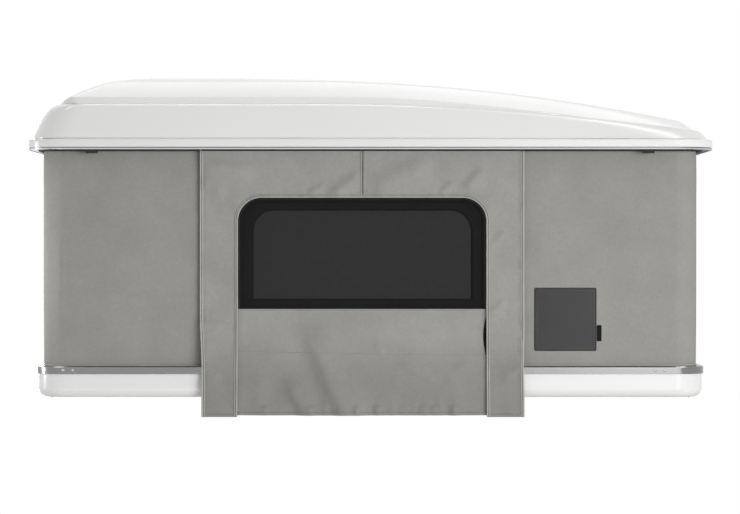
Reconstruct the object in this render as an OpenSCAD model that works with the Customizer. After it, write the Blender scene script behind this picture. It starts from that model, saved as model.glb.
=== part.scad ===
// Hard-shell roof top tent, modelled open with the roof up.
// X runs along the length, the front door faces -Y, Z is up, millimetres.
// The origin is the middle of the underside, between the four mounting bolts.

/* [Overall] */
// Length over the roof rim
roof_len = 2100; // [2000:10:2300]
// Width over the roof rim
roof_wid = 1300; // [1250:10:1500]
// Corner radius of the roof rim in plan
rim_corner_r = 120; // [110:1:160]
// Travel of the roof between closed and open
lift = 655; // [640:1:700]
// Gap left between pieces that rest on each other
seat = 0.3; // [0.2:0.05:0.5]
// Gap round a pin that turns
running = 0.1; // [0.05:0.05:0.2]

/* [Base tray] */
// Height of the tray below the rail
tray_h = 71; // [66:1:90]
// Wall thickness of the tray
tray_t = 5; // [4:0.5:6]
// Outer fillet between the tray's floor and its walls
tray_fillet = 26; // [18:1:30]
// How far the tray stands in from the roof rim
tray_inset = 32; // [31:0.5:35]
// Height of the aluminium rail on top of the tray
rail_h = 23; // [18:1:30]
// Wall thickness of the rail
rail_t = 3; // [2:0.5:3.5]
// Width of the rail over both legs
rail_w = 30; // [28:1:32]
// How far the rail stands in from the roof rim
rail_inset = 27; // [25:0.5:28]
// Spacing of the two rivets in a pair
rivet_pitch = 29; // [20:1:40]
// Distance of each rivet pair from the roof's end
rivet_end = 150; // [130:5:250]
// How far both pairs of rivets sit towards the high end
rivet_shift = 18; // [0:1:20]
// Thickness of the sandwich floor panel
floor_t = 20; // [12:1:25]

/* [Mounting rails] */
// Length of each mounting rail
mount_len = 1500; // [1200:10:1700]
// Width of each mounting rail
mount_w = 40; // [30:1:50]
// Height of each mounting rail
mount_h = 22; // [18:1:26]
// Wall thickness of each mounting rail
mount_t = 4; // [3:0.5:5]
// Distance of a mounting rail from the middle
mount_y = 380; // [300:5:450]
// Distance between the two roof bars
bar_pitch = 900; // [700:10:1100]
// Diameter of the bolt holes
bolt_d = 9; // [8.5:0.5:11]

/* [Mattress] */
// Height of the mattress at its edge
mattress_h = 60; // [40:1:70]
// Extra height of the mattress at its middle
mattress_crown = 12; // [5:1:20]
// How far the mattress stands in from the roof rim
mattress_inset = 118; // [112:1:150]

/* [Roof] */
// Wall thickness of the roof shell
roof_t = 5; // [4:0.5:6]
// Height of the plain band round the rim
band_h = 24; // [18:1:30]
// Width of the step on top of the rim band
rim_step = 13; // [8:0.5:14]
// Height of the shoulder above the rim
ledge_h = 110; // [95:1:120]
// Drop of the shoulder towards the low end
ledge_drop = 86; // [70:1:90]
// Height of the upright edge of the raised panel
riser_h = 21; // [12:1:26]
// Height of the raised panel's top edge above the rim
edge_h = 190; // [175:1:200]
// Drop of the top edge towards the low end
edge_drop = 143; // [130:1:150]
// Where the shoulder starts to drop, as a share of the half length
ledge_start = -0.095; // [-0.2:0.005:0]
// Where the upright edge has died out, as a share of the half length
riser_end = 0.81; // [0.7:0.01:0.9]
// Where the top edge starts to drop, as a share of the half length
edge_start = -0.19; // [-0.3:0.01:0]
// Where the crown starts to drop, as a share of the half length
crown_start = -0.57; // [-0.7:0.01:-0.4]
// Height of the crown above the rim
crown_h = 213; // [205:1:240]
// Drop of the crown towards the low end
crown_drop = 160; // [140:1:165]
// Inset of the shoulder on the long sides
shoulder_side = 64; // [50:1:68]
// Inset of the shoulder at the high end
shoulder_high = 94; // [70:1:94]
// Inset of the shoulder at the low end
shoulder_low = 44; // [34:1:44]
// Inset of the raised panel's foot on the long sides
panel_side = 80; // [76:1:95]
// Inset of the raised panel's foot at the high end
panel_high = 123; // [118:1:130]
// Inset of the raised panel's foot at the low end
panel_low = 55; // [55:1:70]
// Inset of the raised panel's top edge on the long sides
edge_side = 250; // [200:1:300]
// Inset of the raised panel's top edge at the high end
edge_high = 252; // [240:1:300]
// Inset of the raised panel's top edge at the low end
edge_low = 86; // [80:1:120]
// Corner radius of the raised panel's foot at the high end
panel_corner_r = 40; // [34:1:46]
// Corner radius of the raised panel's top edge
edge_corner_r = 28; // [24:1:34]
// Fullness of the shoulder's curve on the long sides, where 1 is a straight slope
side_full = 1.35; // [1.2:0.05:1.6]
// Fullness of the shoulder's curve at the ends
end_full = 2; // [1.8:0.05:2.4]
// Thickness of the quilted liner
liner_t = 12; // [8:1:16]
// Half width of the flat strip along the crown
crown_w = 90; // [60:1:120]
// Run from the top edge to the crown at the high end
crown_high = 180; // [120:5:240]
// Run from the top edge to the crown at the low end
crown_low = 380; // [300:5:450]

/* [Roof edge] */
// Height of the bright trim under the rim band
trim_h = 8; // [7:0.5:10]
// Gap between trim and rail with the roof down
lip_gap = 4; // [3.5:0.5:5]
// Height of the frame's underside above the lip
frame_rise = 3; // [2.5:0.5:4]
// Width of the black frame under the rim
frame_w = 62; // [58:1:64]
// Height of the frame's inner upstand
frame_h = 34; // [28:1:36]
// Thickness of the frame's plates
frame_t = 3; // [2:0.5:4]
// Distance of the locating buffers from the roof's end
buffer_end = 205; // [170:5:270]
// Length of a locating buffer
buffer_len = 36; // [20:1:40]

/* [Cloth walls] */
// How far the wall stands in from the roof rim
wall_inset = 50; // [49:0.5:53]
// Thickness of the cloth
cloth_t = 1.5; // [1:0.1:1.8]
// Width of the windows in the short ends
end_window_w = 620; // [400:10:800]
// Height of the windows in the short ends
end_window_h = 300; // [200:10:330]

/* [Door] */
// Offset of the door from the middle
door_x = -24; // [-60:1:20]
// Width over the two hanging columns
door_w = 984; // [950:2:1020]
// Width of the window opening
window_w = 759; // [700:1:800]
// Height of the window opening
window_h = 340; // [320:1:352]
// Corner radius of the window opening
window_r = 73; // [60:1:90]
// Height of the window sill above the underside
sill_z = 269; // [262:1:280]
// How far the door hangs below the underside
hem_drop = 57; // [20:1:60]
// Outward slope of the hanging cloth
hang_slope = 0.115; // [0.113:0.001:0.125]
// Width of the pale binding
binding_w = 8; // [6:0.5:12]
// Width of zip tape that shows in the opening
tape_w = 22; // [18:1:30]
// Height of the folds in the hanging cloth
fold_h = 4.5; // [2:0.5:6]

/* [Patch] */
// Width of the sewn patch
patch_w = 190; // [120:1:200]
// Height of the sewn patch
patch_h = 193; // [120:1:200]
// Distance of the patch's middle from the roof's low end
patch_end = 455; // [400:1:470]
// Height of the middle of the patch
patch_z = 237; // [210:1:300]
// Width of the patch's stitched border
patch_hem = 8; // [5:0.5:12]
// Width of the tab beside the patch
tab_w = 14; // [10:1:20]
// Height of the tab beside the patch
tab_h = 49; // [30:1:60]

/* [Gas struts] */
// Distance of the foot pin from the roof's end
foot_end = 150; // [130:1:170]
// Run of an open strut along the roof, foot pin to head stud
strut_run = 480; // [460:1:500]
// Height of the foot pin above the rail
foot_rise = 18; // [16:1:22]
// Height of the head stud above the frame's underside
head_rise = 44; // [40:1:48]
// Inset of the strut line from the roof rim
strut_inset = 90; // [88:1:92]
// Diameter of the barrel
barrel_d = 22; // [18:1:23]
// Diameter of the rod
rod_d = 10; // [8:0.5:12]
// Diameter of the pins and studs
pin_d = 8; // [6:0.5:9]
// Outer diameter of the end eyes
eye_d = 20; // [18:1:22]
// Width of the end eyes
eye_w = 14; // [10:1:15]
// Width of the foot and head brackets' plates
bracket_w = 40; // [30:1:50]
// Thickness of the foot bracket's plate
foot_plate_t = 4; // [3:0.5:5]
// Thickness of the head bracket's plate
head_plate_t = 3; // [2:0.5:4]
// Gap between the foot bracket's lug and the frame that comes down past it
frame_pass = 1.7; // [1.5:0.1:3]
// How far a bracket's plate stands above its pin
plate_rise = 12; // [11:0.5:14]

/* [Latches] */
// Height of the latch pin above the underside
latch_z = 56; // [54:0.5:58]
// Distance of the latch pin from the tray's end
latch_out = 16; // [15:0.5:18]
// Width of the rubber strap's neck
neck_w = 14; // [10:1:16]
// Length of the strap from its pin to its head
neck_len = 60; // [58:0.5:62]
// Lean of the strap when it is hooked, from upright
hook_lean = 26; // [25:0.5:28]
// Height of the latch bracket's plate
latch_plate_h = 32; // [28:1:34]
// Thickness of the latch bracket's and keeper's plates
latch_plate_t = 3; // [2:0.5:4]
// Radius of the latch bracket's ears
ear_r = 7; // [6:0.5:8]
// Width of the keeper's plate
keeper_w = 44; // [40:1:50]
// Reach of the keeper's prongs
prong_len = 16; // [14:0.5:18]
// Width of a keeper's prong
prong_w = 7; // [5:0.5:8]
// Thickness of a keeper's prong
prong_t = 5; // [4:0.5:6]

/* [Hidden] */
$fn = 48;
rim_hl = roof_len / 2;
rim_hw = roof_wid / 2;
rivet_x = rim_hl - rivet_end;
buffer_x = rim_hl - buffer_end;
patch_x = rim_hl - patch_end;
foot_x = rim_hl - foot_end;
head_x = foot_x - strut_run;
rail_top = tray_h + rail_h;
lip_z = rail_top + lip_gap + lift;
band_z = lip_z + trim_h;
rim_z = band_z + band_h;
frame_z = lip_z + frame_rise;
frame_inset = roof_t + seat;
wall_y = rim_hw - wall_inset;
wall_x = rim_hl - wall_inset;
wall_bot = rail_top + seat;
wall_top = frame_z - seat;
hem_z = -hem_drop;
overlap = 12;
groove_h = mount_h + seat;
hump_h = groove_h + tray_t;
floor_z = hump_h + seat;
bed_z = floor_z + floor_t + seat;
// layers of the door, outwards from the wall's face
flap_out = 3.4;
flap_t = 1.2;
tape_out = 5;
panel_out = flap_out + flap_t + 0.5;
surround_out = panel_out + cloth_t + 0.9;
binding_out = surround_out + cloth_t + 2 * seat;
flap_len = window_h - tape_w;
flap_w = window_w - 2 * tape_w + 10;
hang_deg = atan(hang_slope);
arch_z = sill_z + window_h;
mesh_side = 46;
mesh_top = 40;
mesh_foot = 30;
mesh_r = 64;
// gas strut lengths and angles, open and closed
strut_y = rim_hw - strut_inset;
foot_z = rail_top + foot_rise;
head_z = frame_z + head_rise;
strut_len = norm([strut_run, head_z - foot_z]);
strut_short = norm([strut_run, head_z - lift - foot_z]);
strut_deg = atan2(head_z - foot_z, strut_run);
stroke = strut_len - strut_short;
barrel_len = strut_short - 45;
barrel_t = 2;
gland = 15;
piston = 10;
rod_from = barrel_len - gland - piston - 12;
// latches
tray_end = rim_hl - tray_inset;
latch_x = tray_end + latch_out;
latch_pin_d = 5;
ear_in = neck_w / 2 + 6.8;
latch_plate_w = 6;
strap_t = 6;
head_w = 40;
head_t = 8;
prong_top = latch_z + lift + neck_len * cos(hook_lean) - head_t / 2 * sin(hook_lean) - 0.8;

// Sweeps a section round the rim outline drawn in by inset: the section's x points outwards
module sweep(inset) {
  r = rim_corner_r - inset;
  for (k = [0:3]) rotate(90 * k) {
    half = k % 2 == 0 ? [rim_hl - inset, rim_hw - inset] : [rim_hw - inset, rim_hl - inset];
    translate([half[0], half[1] - r, 0]) rotate([90, 0, 0])
      linear_extrude(2 * (half[1] - r)) children();
    translate([half[0] - r, half[1] - r, 0]) rotate_extrude(angle = 90) translate([r, 0]) children();
  }
}

// Rounded rectangle centred on the origin
module pad(w, h, r) {
  square([w - 2 * r, h], center = true);
  square([w, h - 2 * r], center = true);
  for (sx = [-1, 1], sy = [-1, 1]) translate([sx * (w / 2 - r), sy * (h / 2 - r)]) circle(r);
}

// Upright rectangle on the x axis with its two top corners rounded
module arch(w, h, r) {
  translate([-w / 2, 0]) square([w, h - r]);
  translate([-w / 2 + r, 0]) square([w - 2 * r, h]);
  for (s = [-1, 1]) translate([s * (w / 2 - r), h - r]) circle(r);
}

// Stands a drawing up on the front, out millimetres in front of the wall's face, t thick
module on_front(out, t) {
  translate([0, -wall_y - out, 0]) rotate([90, 0, 0]) linear_extrude(t) children();
}

// Stands a drawing up on the right-hand end in the same way
module on_end(out, t) {
  translate([wall_x + out, 0, 0]) rotate([90, 0, 90]) linear_extrude(t) children();
}

// Half of a ring with unequal insets and corner radii at its ends, from the low end to the high end
function ring_half(side, high, low, rh, rl) =
  let (x0 = -rim_hl + high, x1 = rim_hl - low, y1 = rim_hw - side, nc = 6, nl = 16)
  concat(
    [for (i = [0:nc]) [x1 - rl + rl * cos(90 * i / nc), y1 - rl + rl * sin(90 * i / nc)]],
    [for (i = [1:nl - 1]) [mix(x1 - rl, x0 + rh, i / nl), y1]],
    [for (i = [0:nc]) [x0 + rh - rh * sin(90 * i / nc), y1 - rh + rh * cos(90 * i / nc)]]);

// Whole ring, counter-clockwise from above
function ring(side, high, low, rh, rl) =
  let (h = ring_half(side, high, low, rh, rl), n = len(h))
  concat(h, [for (i = [n - 1:-1:0]) [h[i][0], -h[i][1]]]);

// Closed solid through a list of rings, capped at both ends; cross splits its sides on the other diagonal
module loft(rings, cross = false) {
  m = len(rings[0]);
  n = len(rings);
  top = (n - 1) * m;
  points = [for (r = rings) for (p = r) p];
  faces = concat(
    [for (k = [0:n - 2]) for (i = [0:m - 1]) let (a = k * m, b = a + m, j = (i + 1) % m)
      each cross ? [[a + i, b + i, a + j], [a + j, b + i, b + j]]
        : [[a + i, b + j, a + j], [a + i, b + i, b + j]]],
    [for (i = [0:m / 2 - 2]) each [[i, i + 1, m - 2 - i], [i, m - 2 - i, m - 1 - i]]],
    [for (i = [0:m / 2 - 2]) let (a = top + i, b = top + m - 2 - i) each [[a, b, a + 1], [a, b + 1, b]]]);
  polyhedron(points, faces);
}

// Thin solid between a front and a back grid of points, ni rows of nj
module sheet(front, back, ni, nj) {
  b0 = ni * nj;
  quads = concat(
    [for (i = [0:ni - 2]) for (j = [0:nj - 2]) let (a = i * nj + j) [a, a + 1, a + nj + 1, a + nj]],
    [for (i = [0:ni - 2]) for (j = [0:nj - 2]) let (a = b0 + i * nj + j)
      [a, a + nj, a + nj + 1, a + 1]],
    [for (i = [0:ni - 2]) let (a = i * nj) [a, a + nj, b0 + a + nj, b0 + a]],
    [for (i = [0:ni - 2]) let (a = i * nj + nj - 1) [a, b0 + a, b0 + a + nj, a + nj]],
    [for (j = [0:nj - 2]) [j, b0 + j, b0 + j + 1, j + 1]],
    [for (j = [0:nj - 2]) let (a = (ni - 1) * nj + j) [a, a + 1, b0 + a + 1, b0 + a]]);
  polyhedron(concat(front, back),
    [for (q = quads) each [[q[0], q[1], q[2]], [q[0], q[2], q[3]]]]);
}

function ramp(t) = let (s = min(1, max(0, t))) s * s * (3 - 2 * s);

// Roof heights above the rim along the length: high end at -X, low end at +X
function along(x, from) = max(0, (x - from) / (rim_hl - from));
function ledge_at(x) = ledge_h - ledge_drop * pow(along(x, ledge_start * rim_hl), 1.7);
function riser_at(x) = riser_h * ramp(1 - x / (riser_end * rim_hl));
function edge_at(x) = edge_h - edge_drop * pow(along(x, edge_start * rim_hl), 1.9);
function crown_at(x) = crown_h - crown_drop * pow(along(x, crown_start * rim_hl), 2.4);
// How far the plain slope of the high end takes over from the ledge and riser
function end_at(x) = ramp((panel_high + 50 - rim_hl - x) / 60);
function mix(a, b, t) = a + (b - a) * t;

// One ring of the roof, in by d and down by d: insets, corner radius at the high end,
// then how much it takes of the ledge, the riser along the sides and round the high end, the edge, the crown
function corner_at(s) = max(edge_corner_r, rim_corner_r - 0.45 * s);
function roof_ring(s, h, l, r, a, b, be, c, k, d) =
  [for (p = ring(s + d, h + d, l + d, r - d, corner_at(s) - d))
    [p[0], p[1], rim_z - d + a * ledge_at(p[0]) + mix(b, be, end_at(p[0])) * riser_at(p[0])
      + c * edge_at(p[0]) + k * crown_at(p[0])]];

// Ring of the shoulder at a share of its height
function shoulder_run(share, full) = 1 - pow(1 - share, 1 / full);
function shoulder_ring(share, d) =
  let (s = mix(rim_step, shoulder_side, shoulder_run(share, side_full)), e = shoulder_run(share, end_full))
  roof_ring(s, mix(rim_step, shoulder_high, e), mix(rim_step, shoulder_low, e), corner_at(s),
    share, 0, 0, 0, 0, d);

// Shoulder, ledge, raised panel and crown of the roof, drawn in by d
function roof_top(d) = concat(
  [for (share = [0, 0.3, 0.56, 0.77, 0.92, 1]) shoulder_ring(share, d)],
  [roof_ring(panel_side - 6, panel_high - 6, panel_low - 9, panel_corner_r + 6, 1, 0.05, 0.8, 0, 0, d)],
  [for (i = [0:2]) let (t = i / 2, q = 1 - pow(1 - t, 1.3))
    roof_ring(mix(panel_side, edge_side, t), mix(panel_high, edge_high, t), mix(panel_low, edge_low, t),
      mix(panel_corner_r, edge_corner_r, t), 1 - q, 1 - q, 1 - q, q, 0, d)],
  [for (i = [1:4]) let (t = i / 4, q = 1 - (1 - t) * (1 - t))
    roof_ring(mix(edge_side, rim_hw - crown_w, t), edge_high + crown_high * t, edge_low + crown_low * t,
      edge_corner_r, 0, 0, 0, 1 - q, q, d)]);

function flat_ring(s, c, z) = [for (p = ring(s, s, s, c, c)) [p[0], p[1], z]];

module roof_shell() color("white") {
  outer = concat([flat_ring(0, rim_corner_r, band_z)], [flat_ring(0, rim_corner_r, rim_z - 2)],
    [flat_ring(2, rim_corner_r - 2, rim_z)], roof_top(0));
  inner = concat([flat_ring(roof_t, rim_corner_r - roof_t, band_z)],
    [flat_ring(roof_t, rim_corner_r - roof_t, rim_z - 2 - roof_t)], roof_top(roof_t));
  n = len(inner);
  loft(concat([for (i = [n - 1:-1:0]) inner[i]], outer));
}

// Quilted liner under the raised panel, split on the same diagonals as the shell's inside
module roof_liner() color("gainsboro") {
  all = roof_top(roof_t + 2 * seat);
  skin = [for (i = [6:len(all) - 1]) all[i]];
  n = len(skin);
  low = [for (i = [n - 1:-1:0]) [for (p = skin[i]) [p[0], p[1], p[2] - liner_t]]];
  loft(concat(low, skin), cross = true);
}

module roof_trim() color("silver") sweep(0) {
  translate([-roof_t, lip_z + 2]) square([roof_t - 1.5, trim_h - 2]);
  translate([-2.5, lip_z + 2.5]) circle(2.5);
}

module roof_frame() color("black") sweep(frame_inset) {
  translate([-frame_w, frame_z]) square([frame_w, frame_t]);
  translate([-frame_w, frame_z]) square([frame_t, frame_h]);
}

module roof_seal() color("black") sweep(rail_inset + 7.5) {
  drop = frame_z - rail_top - lift - 0.5;
  translate([-4, frame_z - 2]) square([8, 2]);
  translate([0, frame_z - drop / 2]) circle(drop / 2);
}

module roof_buffers() color("black")
  for (sx = [-1, 1], sy = [-1, 1]) translate([sx * buffer_x, sy * (rim_hw - 17.5), frame_z - 7])
    cube([buffer_len, 13, 14], center = true);

module base_shell() color("white") difference() {
  union() {
    sweep(tray_inset) difference() {
      union() {
        translate([-tray_fillet, tray_fillet])
          square([tray_fillet, rail_top - rail_t - seat - tray_fillet]);
        translate([-tray_fillet, tray_fillet]) circle(tray_fillet);
      }
      translate([-tray_fillet, tray_fillet]) circle(tray_fillet - tray_t);
      translate([-2 * tray_fillet, tray_fillet]) square([2 * tray_fillet - tray_t, rail_top]);
      translate([-2.5 * tray_fillet, -1]) square([1.5 * tray_fillet, rail_top]);
    }
    linear_extrude(tray_t) pad(2 * (tray_end - tray_fillet),
      2 * (rim_hw - tray_inset - tray_fillet), rim_corner_r - tray_inset - tray_fillet);
    for (s = [-1, 1]) translate([0, s * mount_y, hump_h / 2])
      cube([mount_len + 2 * (seat + tray_t), mount_w + 2 * (seat + tray_t), hump_h], center = true);
  }
  for (s = [-1, 1]) translate([0, s * mount_y, groove_h / 2 - 1])
    cube([mount_len + 2 * seat, mount_w + 2 * seat, groove_h + 2], center = true);
}

module base_rail() color("silver") sweep(rail_inset) difference() {
  polygon([[-rail_w, tray_h], [0, tray_h], [0, rail_top - 2.5], [-2.5, rail_top], [-rail_w, rail_top]]);
  translate([-rail_w + rail_t, tray_h - 1]) square([rail_w - 2 * rail_t, rail_h - rail_t + 1]);
}

module rail_rivets() color("gray")
  for (sy = [-1, 1], sx = [-1, 1], k = [-0.5, 0.5])
    translate([sx * rivet_x - rivet_shift + k * rivet_pitch, sy * (rim_hw - rail_inset), tray_h + rail_h / 2])
      rotate([-90 * sy, 0, 0]) cylinder(h = 1.6, r1 = 4.5, r2 = 2.5);

module mounting_rail_front() color("silver") difference() {
  translate([-mount_len / 2, -mount_y - mount_w / 2, 0]) cube([mount_len, mount_w, mount_h]);
  translate([-mount_len / 2 - 1, -mount_y - mount_w / 2 + mount_t, mount_t])
    cube([mount_len + 2, mount_w - 2 * mount_t, mount_h]);
  for (s = [-1, 1]) translate([s * bar_pitch / 2, -mount_y, -1]) cylinder(h = mount_t + 2, d = bolt_d);
}

module mounting_rail_rear() mirror([0, 1, 0]) mounting_rail_front();

module floor_panel() color("tan") translate([0, 0, floor_z]) {
  in = rail_inset + rail_w + 1;
  linear_extrude(floor_t) pad(2 * (rim_hl - in), 2 * (rim_hw - in), rim_corner_r - in);
}

// Mattress: drawn in at the foot, fullest at half height, crowned on top
module mattress() color("dimgray") {
  r = 60;
  z0 = bed_z;
  loft([
    flat_ring(mattress_inset + 12, r, z0),
    flat_ring(mattress_inset + 3, r, z0 + 0.2 * mattress_h),
    flat_ring(mattress_inset, r, z0 + 0.5 * mattress_h),
    flat_ring(mattress_inset + 3, r, z0 + 0.8 * mattress_h),
    flat_ring(mattress_inset + 14, r, z0 + mattress_h),
    flat_ring(mattress_inset + 80, r, z0 + mattress_h + 0.55 * mattress_crown),
    flat_ring(mattress_inset + 220, r, z0 + mattress_h + 0.88 * mattress_crown),
    flat_ring(mattress_inset + 400, r, z0 + mattress_h + mattress_crown)]);
}

// Cut in the wall behind the door's window, larger than the opening all round
module door_cut(gap) translate([door_x, sill_z - overlap + gap])
  arch(window_w + 2 * (overlap - gap), window_h + 2 * (overlap - gap), window_r + overlap - gap);

module door_mesh_cut(gap) translate([door_x, sill_z + mesh_foot + gap])
  arch(window_w - 2 * (mesh_side + gap), window_h - mesh_foot - mesh_top - 2 * gap, mesh_r - gap);

end_sill = 305;
module end_cut(gap) translate([0, end_sill + end_window_h / 2])
  pad(end_window_w - 2 * gap, end_window_h - 2 * gap, window_r - gap);

module wall_fabric() color("gray") difference() {
  sweep(wall_inset) translate([-cloth_t, wall_bot]) square([cloth_t, wall_top - wall_bot]);
  for (m = [0, 1]) mirror([0, m, 0]) on_front(-10, 20) door_cut(0);
  for (m = [0, 1]) mirror([m, 0, 0]) on_end(-10, 20) end_cut(0);
}

module window_border_front() color("black") on_front(-cloth_t, cloth_t) difference() {
  door_cut(seat);
  door_mesh_cut(0);
}

module window_mesh_front() color("dimgray") on_front(-cloth_t, 0.8) door_mesh_cut(seat);

module window_border_rear() mirror([0, 1, 0]) window_border_front();
module window_mesh_rear() mirror([0, 1, 0]) window_mesh_front();

module end_window_border_right() color("black") on_end(-cloth_t, cloth_t) difference() {
  end_cut(seat);
  end_cut(mesh_top);
}

module end_window_mesh_right() color("dimgray") on_end(-cloth_t, 0.8) end_cut(mesh_top + seat);

module end_window_binding_right() color("lightgray") on_end(seat, 1.2) difference() {
  end_cut(-binding_w);
  end_cut(4);
}

module end_window_border_left() mirror([1, 0, 0]) end_window_border_right();
module end_window_mesh_left() mirror([1, 0, 0]) end_window_mesh_right();
module end_window_binding_left() mirror([1, 0, 0]) end_window_binding_right();

// Black zip tape behind the surround, an upside-down U round the opening
module zip_tape_front() color("black") on_front(tape_out, 1) translate([door_x, sill_z + 1]) difference() {
  arch(window_w + 16, window_h + 7, window_r + 8);
  translate([0, -1]) arch(window_w - 2 * tape_w, window_h - tape_w, window_r - tape_w);
}

module zip_tape_rear() mirror([0, 1, 0]) zip_tape_front();

// How far hanging cloth stands out below the sill
function hang(z) = hang_slope * max(0, sill_z - z);

// Left half of the opening's edge, hem to top: point, outward normal, matching outer point
surround_top = wall_top - 0.5;
arc_z = arch_z - window_r;
function edge_leg(n) = [for (i = [0:n]) let (z = mix(hem_z, arc_z, i / n))
  [[-window_w / 2, z], [-1, 0], [-door_w / 2, z]]];
function edge_arc(n) = [for (i = [1:n]) let (a = 90 * i / n, t = 2 * i / n)
  [[-window_w / 2 + window_r * (1 - cos(a)), arc_z + window_r * sin(a)], [-cos(a), sin(a)],
    t <= 1 ? [-door_w / 2, mix(arc_z, surround_top, t)]
      : [mix(-door_w / 2, -window_w / 2 + window_r, t - 1), surround_top]]];
function edge_top(n) = [for (i = [1:n / 2]) let (x = mix(-window_w / 2 + window_r, 0, 2 * i / n))
  [[x, arch_z], [0, 1], [x, surround_top]]];
function flip(e) = [[-e[0][0], e[0][1]], [-e[1][0], e[1][1]], [-e[2][0], e[2][1]]];
edge_left = concat(edge_leg(14), edge_arc(8), edge_top(8));
edge_path = concat(edge_left, [for (i = [len(edge_left) - 2:-1:0]) flip(edge_left[i])]);

// Shallow upright folds in the columns, growing below the sill
function column_fold(x, z) = 0.5 * fold_h * ramp((sill_z - z) / 250)
  * (0.5 + 0.5 * cos(360 * (x + 0.25 * z) / 74));

function on_wall(p, out) = [door_x + p[0], -wall_y - out - hang(p[1]) - column_fold(p[0], p[1]), p[1]];

module door_surround_front() color("darkgray") {
  nj = 5;
  rows = [for (e = edge_path) for (j = [0:nj - 1]) mix(e[0], e[2], j / (nj - 1))];
  sheet([for (p = rows) on_wall(p, surround_out + cloth_t)], [for (p = rows) on_wall(p, surround_out)],
    len(edge_path), nj);
}

module door_binding_front() color("lightgray") {
  rows = [for (e = edge_path) for (d = [-1, binding_w - 1]) e[0] + d * e[1]];
  sheet([for (p = rows) on_wall(p, binding_out + 1.2)], [for (p = rows) on_wall(p, binding_out)],
    len(edge_path), 2);
}

// Broad slanting folds in the lower panel, none at its top and side edges
function panel_fold(x, z) = fold_h * ramp((sill_z - z) / 130) * ramp((window_w / 2 - 14 - abs(x)) / 120)
  * pow(0.5 + 0.5 * cos(360 * (x + 0.75 * (z - hem_z) + 40) / 245), 1.5);

module door_lower_panel_front() color("darkgray") {
  ni = 29;
  nj = 13;
  rows = [for (i = [0:ni - 1]) for (j = [0:nj - 1])
    [mix(-1, 1, i / (ni - 1)) * (window_w / 2 + 12), mix(hem_z + 5, sill_z, j / (nj - 1))]];
  sheet([for (p = rows) [door_x + p[0],
      -wall_y - panel_out - cloth_t - hang(p[1]) - panel_fold(p[0], p[1]), p[1]]],
    [for (p = rows) [door_x + p[0], -wall_y - panel_out - hang(p[1]) - panel_fold(p[0], p[1]), p[1]]],
    ni, nj);
}

module door_surround_rear() mirror([0, 1, 0]) door_surround_front();
module door_binding_rear() mirror([0, 1, 0]) door_binding_front();
module door_lower_panel_rear() mirror([0, 1, 0]) door_lower_panel_front();

// Window flap, hanging from the sill behind the lower panel
module door_flap_front() color("darkgray") translate([door_x, -wall_y - flap_out, sill_z])
  rotate([90 - hang_deg, 0, 0]) linear_extrude(flap_t) mirror([0, 1])
    arch(flap_w, flap_len, window_r - tape_w);

module door_flap_rear() mirror([0, 1, 0]) door_flap_front();

module sewn_patch() color("dimgray") {
  translate([patch_x, 0, patch_z]) {
    on_front(0, 0.8) pad(patch_w, patch_h, 5);
    on_front(0.8, 0.5) difference() {
      pad(patch_w, patch_h, 5);
      square([patch_w - 2 * patch_hem, patch_h - 2 * patch_hem], center = true);
    }
  }
}

module patch_tab() color("black")
  translate([patch_x + patch_w / 2 + 1 + tab_w / 2, 0, patch_z - patch_h / 2 + 30 + tab_h / 2])
    on_front(0, 1) square([tab_w, tab_h], center = true);

// Foot bracket: folded plate on the rail's inner leg, its lug inboard of the frame that comes down past it
module strut_foot_brackets() color("dimgray") {
  back = rim_hw - rail_inset - rail_w;
  lug = rim_hw - frame_inset - frame_w - frame_pass;
  for (sx = [-1, 1], sy = [0, 1]) mirror([0, sy, 0]) translate([sx * foot_x, 0, foot_z]) {
    translate([-bracket_w / 2, 0, tray_h + 1 - foot_z]) {
      translate([0, -back, 0]) cube([bracket_w, foot_plate_t, rail_h - 1]);
      translate([0, -back, 0]) cube([bracket_w, back - lug + foot_plate_t, foot_plate_t]);
      translate([0, -lug, 0]) cube([bracket_w, foot_plate_t, foot_z - tray_h - 1 + plate_rise]);
    }
    translate([0, -lug + foot_plate_t / 2, 0]) rotate([-90, 0, 0])
      cylinder(h = lug - strut_y + eye_w / 2, d = pin_d);
    translate([0, -strut_y + eye_w / 2 + running, 0]) rotate([-90, 0, 0])
      cylinder(h = 3, d = pin_d + 6);
  }
}

// Head bracket: plate on the frame's upstand, its stud ends just short of the rod's eye
module strut_head_brackets() color("dimgray") {
  face = rim_hw - frame_inset - frame_w;
  for (sx = [-1, 1], sy = [0, 1]) mirror([0, sy, 0]) translate([sx * head_x, 0, head_z]) {
    translate([-bracket_w / 2, -face, -frame_h]) cube([bracket_w, head_plate_t, frame_h + plate_rise]);
    translate([0, -face + head_plate_t / 2, 0]) rotate([-90, 0, 0])
      cylinder(h = face - head_plate_t / 2 - strut_y - eye_w / 2 - 0.4, d = pin_d);
  }
}

module strut_eye() rotate([90, 0, 0]) difference() {
  cylinder(h = eye_w, d = eye_d, center = true);
  cylinder(h = eye_w + 2, d = pin_d + 2 * running, center = true);
}

// Barrel along +X from its eye, hollow, with a gland that guides the rod
module strut_barrel() color("black") {
  strut_eye();
  difference() {
    union() {
      translate([eye_d / 2 - 1.5, -5, -5]) cube([8, 10, 10]);
      translate([eye_d / 2 + 5, 0, 0]) rotate([0, 90, 0])
        cylinder(h = barrel_len - eye_d / 2 - 5, d = barrel_d);
    }
    translate([eye_d / 2 + 15, 0, 0]) rotate([0, 90, 0])
      cylinder(h = barrel_len - eye_d / 2 - 15 - gland, d = barrel_d - 2 * barrel_t);
    translate([barrel_len - gland - 1, 0, 0]) rotate([0, 90, 0]) cylinder(h = gland + 2, d = rod_d + 0.8);
  }
}

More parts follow.
